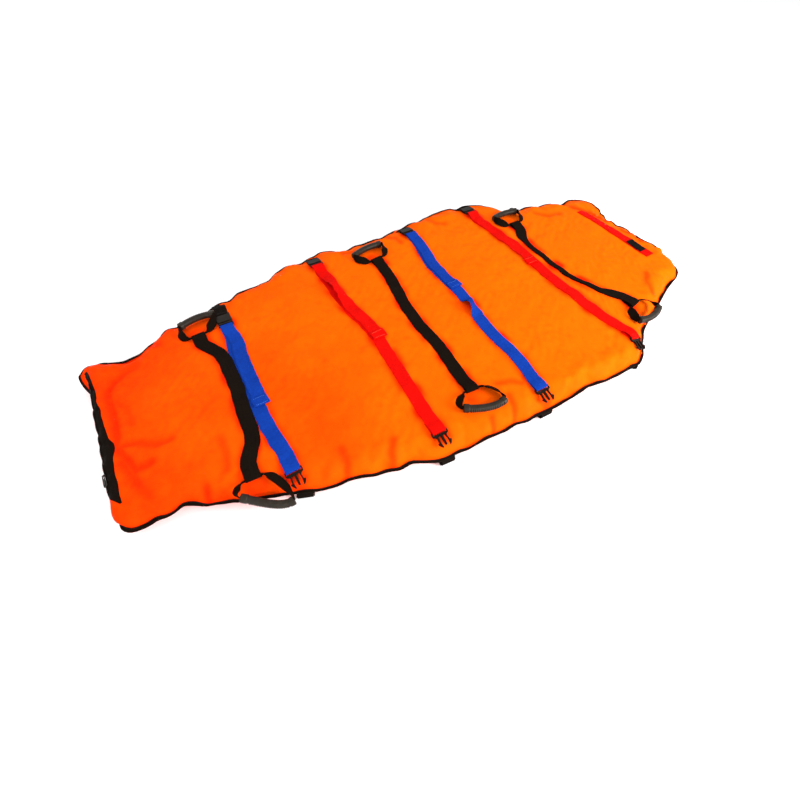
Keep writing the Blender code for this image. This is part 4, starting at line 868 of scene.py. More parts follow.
def shape_cover(points, depth, top_count):
    """Give the plan its heights, its limp edges and its loose waves."""
    x, y, z = points.T.copy()
    d = np.abs(depth)
    is_top = np.arange(len(points)) < top_count
    calm = quiet(x, y)
    lift = seam_lift(x, y)
    base = SEAM_HEIGHT + np.where(d < FLANGE * 0.3, 0.0, FLANGE_RISE)
    inside = np.maximum(d - FLANGE, 0)
    # Walls and crown over the seam, lower at the head end's far corner
    top = SIDE_TOP - 0.013 * smooth_step((x - 0.84) / 0.14) * smooth_step((y + 0.05) / 0.2)
    seam = base + lift * (0.35 + 0.65 * calm)
    rise = np.where(d <= FLANGE, seam, seam + (top - seam) * wall_share(inside) + crown(inside))
    # A fuller roll along the near side's middle
    boxy = smooth_step((x - 0.02) / 0.12) * smooth_step((0.60 - x) / 0.06) * (y < 0)
    rise = rise + calm * 0.0078 * (hump(d, FLANGE + 0.034, 0.012) * boxy)
    # Puckers by the edge, crumples over the top, and the folds
    puckers = waves(x, y, 0.055, 11) * waves(x, y, 0.16, 12)
    crumple = (1 - 2 * np.abs(waves(x, y, 0.06, 23)) / 1.6) * smooth_step(waves(x, y, 0.22, 24) + 0.3)
    rise = rise + calm * (0.0014 * puckers * hump(d, 0.045, 0.030) + 0.0012 * waves(x, y, 0.30, 21)
                          + (0.0006 * waves(x, y, 0.10, 22) + 0.0007 * crumple) * smooth_step(d / 0.08))
    rise = rise - crease_field(x, y)[0] * smooth_step((d - 0.004) / 0.02) * (0.2 + 0.8 * calm)
    z = np.where(is_top, rise, np.minimum(z, UNDER_TOP))
    # The underside follows the lifted seam, and both follow the limp plan
    drop = np.clip(1 - d / (FLANGE + UNDER_RUN), 0, 1)
    z = np.where(~is_top & (d <= 0.1), np.maximum(z + lift * drop ** 0.8, 0.0), z)
    shift_x, shift_y = reach_of(x, y)
    share = smooth_step((0.13 - d) / 0.11)
    x = x + shift_x * share * (0.3 + 0.7 * calm) + foot_shift(x, y, d)
    y = y + shift_y * share * (0.3 + 0.7 * calm)
    return np.column_stack([x, y, z])


cover_points, cover_faces, cover_depth, cover_top_count = build_cover()
cover_points = shape_cover(cover_points, cover_depth, cover_top_count)


def inner_skin(name, mat, replaced, first_ring, first_under, gap):
    """The bladder or its filling, which follows the cover's shape from inside."""
    ring, under = first_ring * RING_COUNT, cover_top_count + first_under * RING_COUNT
    used = [*range(ring, cover_top_count), *range(under, len(cover_points))]
    number = {old: new for new, old in enumerate(used)}
    verts = cover_points[used].copy()
    verts[:, :2] *= 1 - 1.6 * gap
    tops = cover_top_count - ring
    verts[:tops, 2] -= gap
    verts[tops:, 2] += gap * 0.6
    faces = cover_faces + [(b, a, d, c) for a, b, c, d in band(ring, under, RING_COUNT)]
    faces = [tuple(number[i] for i in face) for face in faces if all(i in number for i in face)]
    return add_piece(name, mesh_of(name, verts, faces), mat, "mattress", replaced)


SIM_FRAMES = 20
HOLD_WALL, HOLD_TOP = 0.05, 0.35
MOVE_WALL, MOVE_TOP = 0.010, 0.0025
CLOTH = {"quality": 5, "mass": 0.25, "tension_stiffness": 12, "compression_stiffness": 4,
         "shear_stiffness": 4, "bending_stiffness": 0.25, "use_pressure": True,
         "uniform_pressure_force": 4.0, "shrink_min": -0.02, "vertex_group_mass": "held",
         "pin_stiffness": 1.0}


def puffed(points):
    """The skin after a short cloth simulation with air inside, its seam and underside held."""
    obj = bpy.data.objects.new("puffed", mesh_of("puffed", points, cover_faces))
    bpy.context.scene.collection.objects.link(obj)
    is_top = np.arange(len(points)) < cover_top_count
    depth = np.abs(cover_depth)
    hold = np.where(~is_top | (depth <= FLANGE + 0.0002), 1.0,
                    np.where(depth < FLANGE + WALL_RUN, HOLD_WALL, HOLD_TOP))
    hold = np.maximum(hold, np.where(is_top, 1 - quiet(points[:, 0], points[:, 1]), 1.0))
    group = obj.vertex_groups.new(name="held")
    for weight in np.unique(np.round(hold, 2)):
        group.add([int(i) for i in np.nonzero(np.round(hold, 2) == weight)[0]], float(weight), "REPLACE")
    cloth = obj.modifiers.new("cloth", "CLOTH")
    for key, value in CLOTH.items():
        setattr(cloth.settings, key, value)
    cloth.settings.effector_weights.gravity = 0.0
    cloth.collision_settings.use_collision = False
    cloth.point_cache.frame_start, cloth.point_cache.frame_end = 1, SIM_FRAMES
    for number in range(1, SIM_FRAMES + 1):
        bpy.context.scene.frame_set(number)
    shown = obj.evaluated_get(bpy.context.evaluated_depsgraph_get())
    moved = np.empty(len(points) * 3)
    shown.to_mesh().vertices.foreach_get("co", moved)
    shown.to_mesh_clear()
    bpy.data.objects.remove(obj)
    bpy.context.scene.frame_set(1)
    step = moved.reshape(-1, 3) - points
    length = np.linalg.norm(step, axis=1, keepdims=True)
    cap = np.where(depth < FLANGE + WALL_RUN, MOVE_WALL, MOVE_TOP)[:, None]
    return points + step * np.minimum(1, cap / np.maximum(length, 1e-9)) * (1 - (hold[:, None] > 0.99))


cover_points = puffed(cover_points)
cover_mesh = mesh_of("mattress_cover", cover_points, cover_faces)
cover = add_piece("mattress_cover", cover_mesh, "cover", "mattress",
                  ("cover_top", "cover_bottom"), smooth=False)
finer = cover.modifiers.new("finer", "SUBSURF")
finer.levels = 1
finer.render_levels = 1
shown = cover.evaluated_get(bpy.context.evaluated_depsgraph_get())
cover_mesh = bpy.data.meshes.new_from_object(shown)
cover.modifiers.clear()
cover.data = cover_mesh
cover_mesh.shade_smooth()
inner_skin("bladder_skin", "bladder", ("air_bladder",), 9, 5, 0.006)
inner_skin("bead_filling", "beads", ("bead_fill",), 10, 6, 0.0095)

SKIN = np.empty(len(cover_mesh.vertices) * 3)
cover_mesh.vertices.foreach_get("co", SKIN)
SKIN = SKIN.reshape(-1, 3)
GROUND = BVHTree.FromPolygons([tuple(v) for v in SKIN], [tuple(p.vertices) for p in cover_mesh.polygons])
SEAM = SKIN[:RING_COUNT]
SEAM_IN = SKIN[2 * RING_COUNT:3 * RING_COUNT]


def ground(x, y):
    """Height of the cover at a plan point."""
    hit = GROUND.ray_cast(Vector((x, y, 0.3)), Vector((0, 0, -1)))[0]
    return hit.z if hit else SEAM_HEIGHT


def surface(x, y, step=0.004):
    """A point of the cover and its smoothed normal there."""
    slope_x = (ground(x + step, y) - ground(x - step, y)) / (2 * step)
    slope_y = (ground(x, y + step) - ground(x, y - step)) / (2 * step)
    return Vector((x, y, ground(x, y))), Vector((-slope_x, -slope_y, 1)).normalized()


# ---------------------------------------------------------------- webbing

MAX_SAG = 0.006
HALF_SECTION = ((-1.0, 0.30), (-0.985, 0.75), (-0.93, 1.0), (-0.7, 0.94), (-0.4, 0.97), (0.0, 1.0),
                (0.4, 0.97), (0.7, 0.94), (0.93, 1.0), (0.985, 0.75), (1.0, 0.30))
SECTION = np.array([(u, -w) for u, w in HALF_SECTION] + [(u, w) for u, w in reversed(HALF_SECTION)])


class Tape:
    """Flat webbing along a path of (point, width direction), draped sideways where it lies."""

    def __init__(self, path, widths=None, thicks=None, drape=None, seed=0, ragged=0.0006):
        count = len(path)
        self.points = [Vector(p) for p, _ in path]
        self.sides = [Vector(s).normalized() for _, s in path]
        self.widths = widths or [WEBBING] * count
        thicks = thicks or [WEB_THICK] * count
        drape = drape or [0.0] * count
        self.ups, along = [], [0.0]
        for i in range(count):
            ahead = self.points[min(i + 1, count - 1)] - self.points[max(i - 1, 0)]
            self.ups.append(self.sides[i].cross(ahead).normalized())
            if i:
                along.append(along[-1] + (self.points[i] - self.points[i - 1]).length)
        self.along, self.length = np.array(along), along[-1]
        wander = waves(self.along, self.along * 0, 0.11, seed + 50, 5) * ragged
        left, right = (waves(self.along, self.along * 0, 0.05, seed + k, 5) * ragged * 0.6 for k in (51, 52))
        self.rings = []
        for i, (point, side, up) in enumerate(zip(self.points, self.sides, self.ups)):
            here = ground(point.x, point.y) if drape[i] > 0 else 0.0
            ring = []
            for u, w in SECTION:
                reach = u * (self.widths[i] / 2) + wander[i] + (left[i] if u < 0 else right[i]) * u
                spot = point + side * reach + up * (w * (thicks[i] / 2))
                if drape[i] > 0:
                    under = point + side * reach
                    gap = ground(under.x, under.y) - here - side.z * reach
                    spot.z += drape[i] * max(-MAX_SAG, min(MAX_SAG, gap))
                ring.append(spot)
            self.rings.append(ring)

    def spot(self, distance, across):
        """A point just over the tape's face at a distance along it and an offset across, and its up."""
        i = int(np.clip(np.searchsorted(self.along, distance) - 1, 0, len(self.points) - 2))
        share = (distance - self.along[i]) / max(self.along[i + 1] - self.along[i], 1e-9)
        u = max(-0.97, min(0.97, across / (self.widths[i] / 2)))
        us = [place for place, _ in HALF_SECTION]
        k = max(0, min(len(us) - 2, int(np.searchsorted(us, u)) - 1))
        mix = (u - us[k]) / (us[k + 1] - us[k])
        top = len(SECTION) - 1 - k
        first, last = (ring[top].lerp(ring[top - 1], mix) for ring in self.rings[i:i + 2])
        return first.lerp(last, share) + self.ups[i] * THREAD_LIFT, self.ups[i]

    def piece(self, name, mat, slot, replaced):
        """The tape's piece, which rides on the mattress."""
        uvs = [(u * wide / 2, run) for wide, run in zip(self.widths, self.along) for u, _ in SECTION]
        return ringed_piece(name, self.rings, mat, replaced, uvs=uvs)


THREAD_RADIUS = 0.00034
THREAD_LIFT = 0.0002
STITCH_PITCH = 0.0042
SEWN_INSET = 0.0035
BOX_START, BOX_END = 0.006, 0.034
THREAD_SLOTS = {"thread_dark": "black_webbing", "thread_blue": "blue_webbing", "thread_red": "red_webbing"}
STITCHES = {thread: [] for thread in THREAD_SLOTS}


def stitch(tape, thread, start, end):
    """Sew a straight line on a tape between two (distance, across) places."""
    (s0, u0), (s1, u1) = start, end
    count = max(int(sqrt((s1 - s0) ** 2 + (u1 - u0) ** 2) / STITCH_PITCH), 1)
    for i in range(count):
        a, b = (i + 0.12) / count, (i + 0.86) / count
        first, up = tape.spot(s0 + (s1 - s0) * a, u0 + (u1 - u0) * a)
        last, _ = tape.spot(s0 + (s1 - s0) * b, u0 + (u1 - u0) * b)
        STITCHES[thread].append((first, last, up))


def stitched_box(tape, thread, start, end, half, cross=True):
    """A sewn box with a cross in it."""
    corners = [(start, -half), (end, -half), (end, half), (start, half)]
    for first, last in ((0, 1), (1, 2), (2, 3), (3, 0)) + (((0, 2), (1, 3)) if cross else ()):
        stitch(tape, thread, corners[first], corners[last])


def stitch_pieces():
    """Turn the collected stitches into one piece for each thread."""
    for thread, dashes in STITCHES.items():
        verts, faces = [], []
        for first, last, up in dashes:
            run = last - first
            side = run.cross(up).normalized()
            faces += tube_faces(4, 6, len(verts))
            for share, size in ((0.0, 0.35), (0.2, 1.0), (0.8, 1.0), (1.0, 0.35)):
                middle = first + run * share + up * (THREAD_RADIUS * 0.35 * size)
                for k in range(6):
                    angle = pi / 3 * k
                    verts.append(middle + (side * cos(angle) + up * sin(angle)) * (THREAD_RADIUS * size))
        name = thread.replace("thread", "stitches")
        add_piece(name, mesh_of(name, verts, faces), thread, "mattress")


def settling(height, low, distance):
    """Height of a layer that leaves a bar at one height and settles on a low one, at a distance from it."""
    return low + (height - low) * (1 - eased((distance - BAR_LEAD) / RISE_LENGTH))


def level_under(bar, distance):
    """Height of the layer that leaves the bottom of a bar."""
    return settling(bar.height - bar.wrap, LIE, distance)


def upper_level(bar, distance):
    """Height of the top layer: over the turned-back end by the bar, then down on the mattress."""
    low = LIE + (OVER - LIE) * eased((RETURN_LENGTH + 0.025 - distance) / 0.020)
    return settling(bar.height + bar.wrap, low, distance)


def way_point(way, share, level, shift=0.0):
    """A point of a strap's middle over the cover, its width direction and its drape."""
    step = 0.002
    x, y = way.spot(share)
    x += shift
    slope = (way.spot(share + step)[0] - way.spot(share - step)[0]) / (2 * step * way.span)
    spot, normal = surface(x, y)
    rigid = 1 - eased((min(share, 1 - share) * way.span - 0.012) / 0.030)
    if rigid > 0:
        cad_spot, cad_normal = cad_surface(x, y)
        spot = spot.lerp(cad_spot, rigid)
        normal = normal.lerp(cad_normal, rigid).normalized()
    side = Vector((1, slope, 0))
    side -= normal * side.dot(normal)
    return spot + normal * level, side.normalized(), 1 - rigid


def way_run(way, start, end, level, shift=None, step=0.005):
    """Points of a strap from one share to another."""
    count = max(int(abs(end - start) * way.span / step), 2)
    shares = [start + (end - start) * i / count for i in range(count + 1)]
    return [way_point(way, s, level(s), shift(s) if shift else 0.0) for s in shares]


BAR_STEPS = 13


def around(bar, from_top):
    """Points of the webbing's middle round a bar's outward side."""
    angles = [radians(90 - 15 * i) for i in range(BAR_STEPS)]
    side = bar.axis * bar.side
    return [(bar.centre + bar.out * (bar.wrap * cos(a)) + bar.normal * (bar.wrap * sin(a)), side, 0.0)
            for a in (angles if from_top else angles[::-1])]


def rolled(path, start, end, angle):
    """Raise one edge of a stretch of a path, given as shares of it, like a curling strap."""
    out = list(path)
    start, end = int(len(path) * start), int(len(path) * end)
    for i in range(start, end):
        share = eased(min(i - start, end - 1 - i) / max((end - start) * 0.4, 1))
        turn = radians(angle) * share
        point, side, drape = path[i]
        ahead = path[min(i + 1, len(path) - 1)][0] - path[max(i - 1, 0)][0]
        up = side.cross(ahead).normalized()
        if up.z < 0:
            up = -up
        new = (side * cos(turn) - up * sin(turn)).normalized()
        out[i] = (point + up * (WEBBING / 2 * sin(turn)), new, drape * (1 - share))
    return out


# Stretches that lie with one edge up: start and end as shares of the run, and degrees
TAIL_ROLLS = {"red_hip": (0.34, 0.86, 34)}
MAIN_ROLLS = {"blue_belly": (0.49, 0.62, 40)}
END_SEAM = 0.004  # a stitch row's way from the end of its webbing
RAGGED = 0.0008  # how far a strap's edges waver
OVER_BLUE = 0.0024  # the foot carry strap's rise over the blue strap beside it


def laid_tape(path, widths, thicks, seed, ragged):
    """A tape from a path of (point, side, drape)."""
    return Tape([place[:2] for place in path], widths, thicks, [place[2] for place in path], seed, ragged)


def patient_strap(name, tail, tail_shift, colour, seed):
    """A coloured strap: hemmed tail, round the far bar, across, round the near bar and sewn back."""
    way = ways[name]
    far, near, span = way.far, way.near, way.span
    lead = BAR_LEAD / span
    hem = tail - HEM_LENGTH / span
    hem_level = OVER + (HEM_THICK - WEB_THICK) / 2

    def offset(share):
        return tail_shift * eased(share * span / 0.10)

    def main_level(share):
        return upper_level(near, (1 - share) * span) if share > 0.5 else level_under(far, share * span)

    hemmed = way_run(way, tail, hem, lambda s: hem_level, offset, 0.003)
    tail_run = way_run(way, hem - 0.003 / span, lead,
                       lambda s: settling(far.height + far.wrap, OVER, s * span), offset)
    main = way_run(way, lead, 1 - lead, main_level)
    if name in TAIL_ROLLS:
        tail_run = rolled(tail_run, *TAIL_ROLLS[name])
    if name in MAIN_ROLLS:
        main = rolled(main, *MAIN_ROLLS[name])
    back = way_run(way, 1 - lead, 1 - RETURN_LENGTH / span, lambda s: level_under(near, (1 - s) * span))
    path = hemmed + tail_run + around(far, True) + main + around(near, True) + back
    plain = len(path) - len(hemmed)
    tape = laid_tape(path, [WEBBING + HEM_EXTRA] * len(hemmed) + [WEBBING] * plain,
                     [HEM_THICK] * len(hemmed) + [WEB_THICK] * plain, seed,
                     2 * RAGGED if name == "red_chest" else RAGGED)
    piece = tape.piece(f"webbing_{name}", colour, f"{colour}_webbing", (f"strap_{name}",))
    inner = WEBBING / 2 - SEWN_INSET
    for place in (END_SEAM, HEM_LENGTH - END_SEAM):
        stitch(tape, f"thread_{colour}", (place, -inner), (place, inner))
    sewn = tape.along[len(hemmed) + len(tail_run) + BAR_STEPS + len(main) - 1]
    stitched_box(tape, f"thread_{colour}", sewn - BOX_END, sewn - BOX_START, inner)


def carry_strap(name, seed):
    """A black strap across the mattress, turned back round a handle at each end."""
    way = ways[name]
    far, near, span = way.far, way.near, way.span
    lead = BAR_LEAD / span
    back = RETURN_LENGTH / span
    lift = OVER_BLUE if name == "foot" else 0.0

    def level(share):
        bar, distance = (far, share * span) if share < 0.5 else (near, (1 - share) * span)
        over = lift * (eased((share - 0.10) / 0.08) * eased((0.80 - share) / 0.08))
        return upper_level(bar, distance) + over

    first = way_run(way, back, lead, lambda s: level_under(far, s * span))
    main = way_run(way, lead, 1 - lead, level)
    last = way_run(way, 1 - lead, 1 - back, lambda s: level_under(near, (1 - s) * span))
    path = first + around(far, False) + main + around(near, True) + last
    widths, thicks = [WEBBING] * len(path), [WEB_THICK] * len(path)
    if name == "head":  # its middle lies folded to half its width
        for i, (point, side, drape) in enumerate(path):
            from_end = min(abs(point.y - far.y), abs(point.y - near.y))
            share = eased((from_end - 0.07) / 0.06)
            widths[i], thicks[i] = WEBBING * (1 - 0.50 * share), WEB_THICK * (1 + share)
            path[i] = (point + Vector((0, 0, WEB_THICK / 2 * share)), side, drape)
    tape = laid_tape(path, widths, thicks, seed, RAGGED)
    piece = tape.piece(f"webbing_carry_{name}", "black", "black_webbing", (f"carry_strap_{name}",))
    inner = WEBBING / 2 - SEWN_INSET
    start = tape.along[len(first) + BAR_STEPS]
    end = tape.along[len(first) + BAR_STEPS + len(main) - 1]
    stitched_box(tape, "thread_dark", start + BOX_START, start + BOX_END, inner)
    stitched_box(tape, "thread_dark", end - BOX_END, end - BOX_START, inner)


# ---------------------------------------------------------------- handles

GRIP_END = HANDLE_DEPTH - GRIP_BULGE
GRIP_LEVEL = GRIP_RADIUS + LIE_GAP - (LIE + LOOP_WRAP) + 0.0006
GRIP_RIBS = 17
COLLAR = 0.0145
BUNCH_WIDE, BUNCH_THICK = 0.0052, 0.0046  # the loop's webbing inside the strap's end
BAND_WIDE, BAND_THICK = 0.0255, 0.0026  # and beside the grip
IN_GRIP_WIDE = 0.0120
RIB_DEPTH = 0.0019
LOOP_SECTION = ((-1, -0.5), (-0.9, -1), (-0.5, -1), (0, -1), (0.5, -1), (0.9, -1), (1, -0.5),
                (1, 0.5), (0.9, 1), (0.5, 1), (0, 1), (-0.5, 1), (-0.9, 1), (-1, 0.5))
# How a limp handle lies: its width as a share, its skew towards one end, its reach and its drift sideways
HANDLE_LIE = {"foot_far": (1.06, 0.0, 1.06, 0.30), "foot_near": (1.10, -0.54, 1.12, -0.30),
              "chest_far": (1.16, 0.04, 1.0, 0.0), "chest_near": (1.14, -0.22, 1.06, -0.05),
              "head_far": (1.06, 0.0, 1.0, 0.0), "head_near": (1.04, -0.10, 0.98, 0.08)}


def lain(name, u, v):
    """A handle's plan point after its loop is spread and skewed as it lies."""
    wide, skew, deep, drift = HANDLE_LIE[name]
    free = float(smooth_step(u / 0.03))
    return (u * (1 + (deep - 1) * free) + skew * v * free * u / GRIP_END,
            v * (1 + (wide - 1) * free) + drift * u * free)


def grip_at(v):
    """The grip's middle, as its reach from the bar, at a place along it."""
    return GRIP_END + GRIP_BULGE * (1 - (v / (GRIP_LENGTH / 2)) ** 2)


def handle_loop(name, bar, body):
    """The webbing loop: bunched in the strap's end, flaring into bands that stand on edge at the grip."""
    rear = WEBBING / 2 + 0.003
    outer = HANDLE_WIDTH / 2 - GRIP_RADIUS + 0.006
    arm = []
    for i in range(1, 22):
        share = i / 22
        angle = pi / 2 * share
        blend = eased(share * 2.4)
        arm.append((GRIP_END * (1 - cos(angle)) ** 0.9, rear + (outer - rear) * sin(angle),
                    -0.0002 + (GRIP_LEVEL + 0.0012) * eased(share * 1.5),
                    BUNCH_WIDE + (BAND_WIDE - BUNCH_WIDE) * blend * (1 - 0.36 * eased((share - 0.72) / 0.28)),
                    BUNCH_THICK + (BAND_THICK - BUNCH_THICK) * blend,
                    52 * eased(share * 2.5) * (1 - eased((share - 0.62) / 0.38))))
    rows = [(0.0, -rear + 2 * rear * i / 8, 0.0, BUNCH_WIDE, BUNCH_THICK, 0.0) for i in range(9)] + arm
    for i in range(25):
        v = GRIP_LENGTH / 2 * 1.01 * (1 - 2 * i / 24)
        rows.append((grip_at(v), v, GRIP_LEVEL, IN_GRIP_WIDE, BAND_THICK, 0.0))
    rows += [(u, -v, *rest) for u, v, *rest in reversed(arm)]
    rows = [(*lain(name, u, v), *rest) for u, v, *rest in rows]
    place = bar.matrix()
    rings, uvs = [], []
    run = 0.0
    for i, (u, v, level, wide, thick, tilt) in enumerate(rows):
        before, after = rows[i - 1], rows[(i + 1) % len(rows)]
        along = Vector((after[0] - before[0], after[1] - before[1], 0)).normalized()
        out = Vector((along.y, -along.x, 0))
        run += sqrt((u - before[0]) ** 2 + (v - before[1]) ** 2) if i else 0.0
        lean = radians(tilt)
        tall = Vector((0, 0, 1)) * cos(lean) + out * sin(lean)
        flat = out * cos(lean) - Vector((0, 0, 1)) * sin(lean)
        rings.append([place @ (Vector((u, v, level)) + tall * (a * wide / 2) + flat * (b * thick / 2))
                      for a, b in LOOP_SECTION])
        uvs += [(a * wide / 2, run) for a, _ in LOOP_SECTION]
    ringed_piece(f"loop_webbing_{name}", rings, "black", (f"handle_loop_{name}",), body,
                 uvs, closed=True)


def handle_grip(name, bar, body):
    """The moulded grip: fine ribs on its outer and lower sides, a smooth back and blocky ends."""
    half = GRIP_LENGTH / 2
    place = bar.matrix()
    count, size = 168, 24
    rings, tones = [], []
    for i in range(count + 1):
        v = half * (1 - 2 * i / count)
        u, across = lain(name, grip_at(v), v)
        ahead, behind = (lain(name, grip_at(w), w) for w in (v + 0.001, v - 0.001))
        along = Vector((ahead[0] - behind[0], ahead[1] - behind[1], 0)).normalized()
        out = Vector((along.y, -along.x, 0))
        from_end = half - abs(v)
        collar = eased((0.0125 - from_end) / 0.0015)
        rounding = 1 - 0.22 * (1 - sqrt(max(0.0, 1 - (1 - min(from_end / 0.0025, 1)) ** 2)))
        ribbed = eased((from_end - 0.0135) / 0.002)
        wave = 0.5 - 0.5 * cos(2 * pi * GRIP_RIBS * (from_end - COLLAR) / (half - COLLAR) / 2)
        ring = []
        for k in range(size):
            angle = 2 * pi * k / size
            outward, upward = cos(angle), sin(angle)
            side = eased(outward * 0.9 - upward * 0.75 + 0.35)
            radius = GRIP_RADIUS - 0.0015 * (1 - collar) + (RIB_DEPTH * wave) * ribbed * side
            radius *= (1 + 0.07 * collar * (abs(sin(2 * angle)) ** 2)) * rounding
            ring.append(place @ (Vector((u, across, GRIP_LEVEL)) + out * (radius * outward)
                                 + Vector((0, 0, radius * upward))))
            tones.append(ribbed * side * (wave - 0.5) * 2)
        rings.append(ring)
    grip = ringed_piece(f"grip_rubber_{name}", rings, "grip", (f"handle_grip_{name}",), body)
    grip.data.attributes.new("rib", "FLOAT", "POINT").data.foreach_set("value", np.array(tones, np.float32))


for seed, (name, *_) in enumerate(CARRY_SETS):
    carry_strap(name, 10 * seed + 100)
    for key in (f"{name}_far", f"{name}_near"):
        handle_loop(key, bars[key], f"carry_handle_{key}")
        handle_grip(key, bars[key], f"carry_handle_{key}")
for seed, (name, *_, tail, shift) in enumerate(PATIENT_STRAPS):
    patient_strap(name, tail, shift * WEBBING, name.split("_")[0], 10 * seed + 200)

# ---------------------------------------------------------------- tabs, head strap, binding, zip


def upper_hull(points):
    """The points that a line stretched over them all would touch, by rising first value."""
    hull = []
    for point in sorted(points):
        while len(hull) > 1:
            (ax, az), (bx, bz) = hull[-2:]
            if (bx - ax) * (point[1] - az) < (bz - az) * (point[0] - ax):
                break
            hull.pop()
        hull.append(point)
    return hull


def refined(path, step=0.004):
    """The same path with points at most a step apart."""
    out = [path[0]]
    for (start, first), (end, last) in zip(path, path[1:]):
        count = max(int((end - start).length / step), 1)
        out += [(start.lerp(end, k / count), first.lerp(last, k / count).normalized())
                for k in range(1, count + 1)]
    return out


def far_tab(name, bar):
    """Webbing from the edge seam, over the wall, round the socket's bar and sewn to itself."""
    x = bar.x
    seam = max((p for p in SEAM if abs(p[0] - x) < 0.012 and p[1] > 0), key=lambda p: -abs(p[0] - x))
    edge = float(seam[1])
    centre = bar.centre + bar.out * TAB_BAR
    wall = []
    for i in range(40):
        y = edge - FLANGE - (edge - FLANGE - centre.y) * (i + 0.5) / 40
        point, normal = surface(x, y, 0.002)
        flat_way = Vector((normal.y, normal.z))
        lift = LIE / max(flat_way.length_squared, 0.2)
        wall.append((edge - point.y - flat_way.x * lift, point.z + flat_way.y * lift))
    foot = (TAB_FROM_EDGE, ground(x, edge - TAB_FROM_EDGE) + LIE)
    to_bar = upper_hull([foot, *wall, (edge - centre.y, centre.z)])[-2]
    away = Vector((edge - to_bar[0] - centre.y, to_bar[1] - centre.z)).normalized()
    leaves = (edge - centre.y - away.y * bar.wrap, centre.z - away.x * bar.wrap)
    side = Vector((1, 0, 0))
    hull = upper_hull([foot, *wall, leaves])
    path = refined([(Vector((x, edge - d, z)), side) for d, z in hull[:-1]])
    for i in range(BAR_STEPS):
        angle = atan2(away.y, away.x) - pi / 2 - pi / 12 * i
        path.append((centre + Vector((0, cos(angle), sin(angle))) * bar.wrap, side))
    for (start, _), (end, _) in zip(path, path[1:]):
        if end.y <= centre.y + TAB_FLAP <= start.y:
            share = (start.y - centre.y - TAB_FLAP) / (start.y - end.y)
            normal = (end - start).cross(side).normalized()
            flap = start.lerp(end, share) + normal * (WEB_THICK + LAYER_GAP)
            path = refined(path) + refined([path[-1], (flap, side)])[1:]
            break
    tape = Tape(path, seed=int(abs(x) * 100))
    piece = tape.piece(f"tab_far_{name}", "black", "black_webbing", (f"far_tab_{name}",))


def near_tab(name, x):
    """Webbing that hangs from the edge's underside round the tucked socket's bar."""
    along, out = edge_directions(x, -1)
    bar = Vector((x, edge_y(x, -1), SOCKET_THICK / 2 + UNDER_LIFT)) - out * UNDER_BAR_INSET
    top = UNDER_TOP - 0.0003 - 0.0012 - 0.0022 - bar.z
    corners = [(-0.0020, top), (0.0024, 0.0105)]
    corners += [(BAR_WRAP * cos(radians(a)), BAR_WRAP * sin(radians(a))) for a in range(0, -181, -15)]
    corners += [(-0.0042, 0.0095), (-0.0052, top)]
    path = refined([(bar + out * u + Vector((0, 0, w)), along) for u, w in corners], 0.003)
    tape = Tape(path, ragged=0.0003)
    piece = tape.piece(f"tab_near_{name}", "black", "black_webbing", (f"near_tab_{name}",))


def head_strap():
    """The narrow red strap over the head end and the black patch sewn on it."""
    length = HEAD_STRAP_FAR - HEAD_STRAP_NEAR
    across = Vector((length, HEAD_STRAP_SLANT, 0)).normalized()

    def flat_tape(start, end, count, level, width, thick, seed, ragged):
        path = []
        for i in range(count):
            share = start + (end - start) * i / (count - 1)
            x = LENGTH / 2 - HEAD_STRAP_FROM_HEAD + HEAD_STRAP_SLANT * share + 0.003 * sin(share * 5.0)
            spot, normal = surface(x, HEAD_STRAP_FAR + (HEAD_STRAP_NEAR - HEAD_STRAP_FAR) * share)
            path.append((spot + normal * level, (across - normal * across.dot(normal)).normalized(), 1.0))
        return laid_tape(path, [width] * count, [thick] * count, seed, ragged)

    tape = flat_tape(0.0, 1.0, 66, LIE, HEAD_WEB, WEB_THICK, 7, RAGGED)
    piece = tape.piece("webbing_head", "red", "red_webbing", ("head_strap",))
    inner = HEAD_WEB / 2 - 0.003
    for place in (END_SEAM, tape.length - END_SEAM):
        stitch(tape, "thread_red", (place, -inner), (place, inner))
    end = 1 - PATCH_FROM_END / length
    patch = flat_tape(end - PATCH_LENGTH / length, end, 14, LIE + WEB_THICK / 2 + 0.0003 + PATCH_THICK / 2,
                      HEAD_WEB * 0.84, PATCH_THICK, 9, 0.0002)
    patch.piece("patch_hooks", "hooks", "hook_patch", ("head_strap_patch",))
    stitched_box(patch, "thread_dark", 0.003, PATCH_LENGTH - 0.003, inner - 0.0005, False)


BINDING_SECTION = (
    (-0.0066, 0.0019), (-0.0064, 0.0026), (-0.0040, 0.0027), (-0.0008, 0.0027), (0.0007, 0.0022),
    (0.0013, 0.0011), (0.0015, 0.0), (0.0013, -0.0011), (0.0007, -0.0022), (-0.0008, -0.0027),
    (-0.0040, -0.0027), (-0.0064, -0.0026), (-0.0066, -0.0019), (-0.0040, -0.0016), (-0.0006, -0.0012),
    (-0.0001, 0.0), (-0.0006, 0.0012), (-0.0040, 0.0016))
BINDING_PITCH = 0.0052  # one stitch and its gap


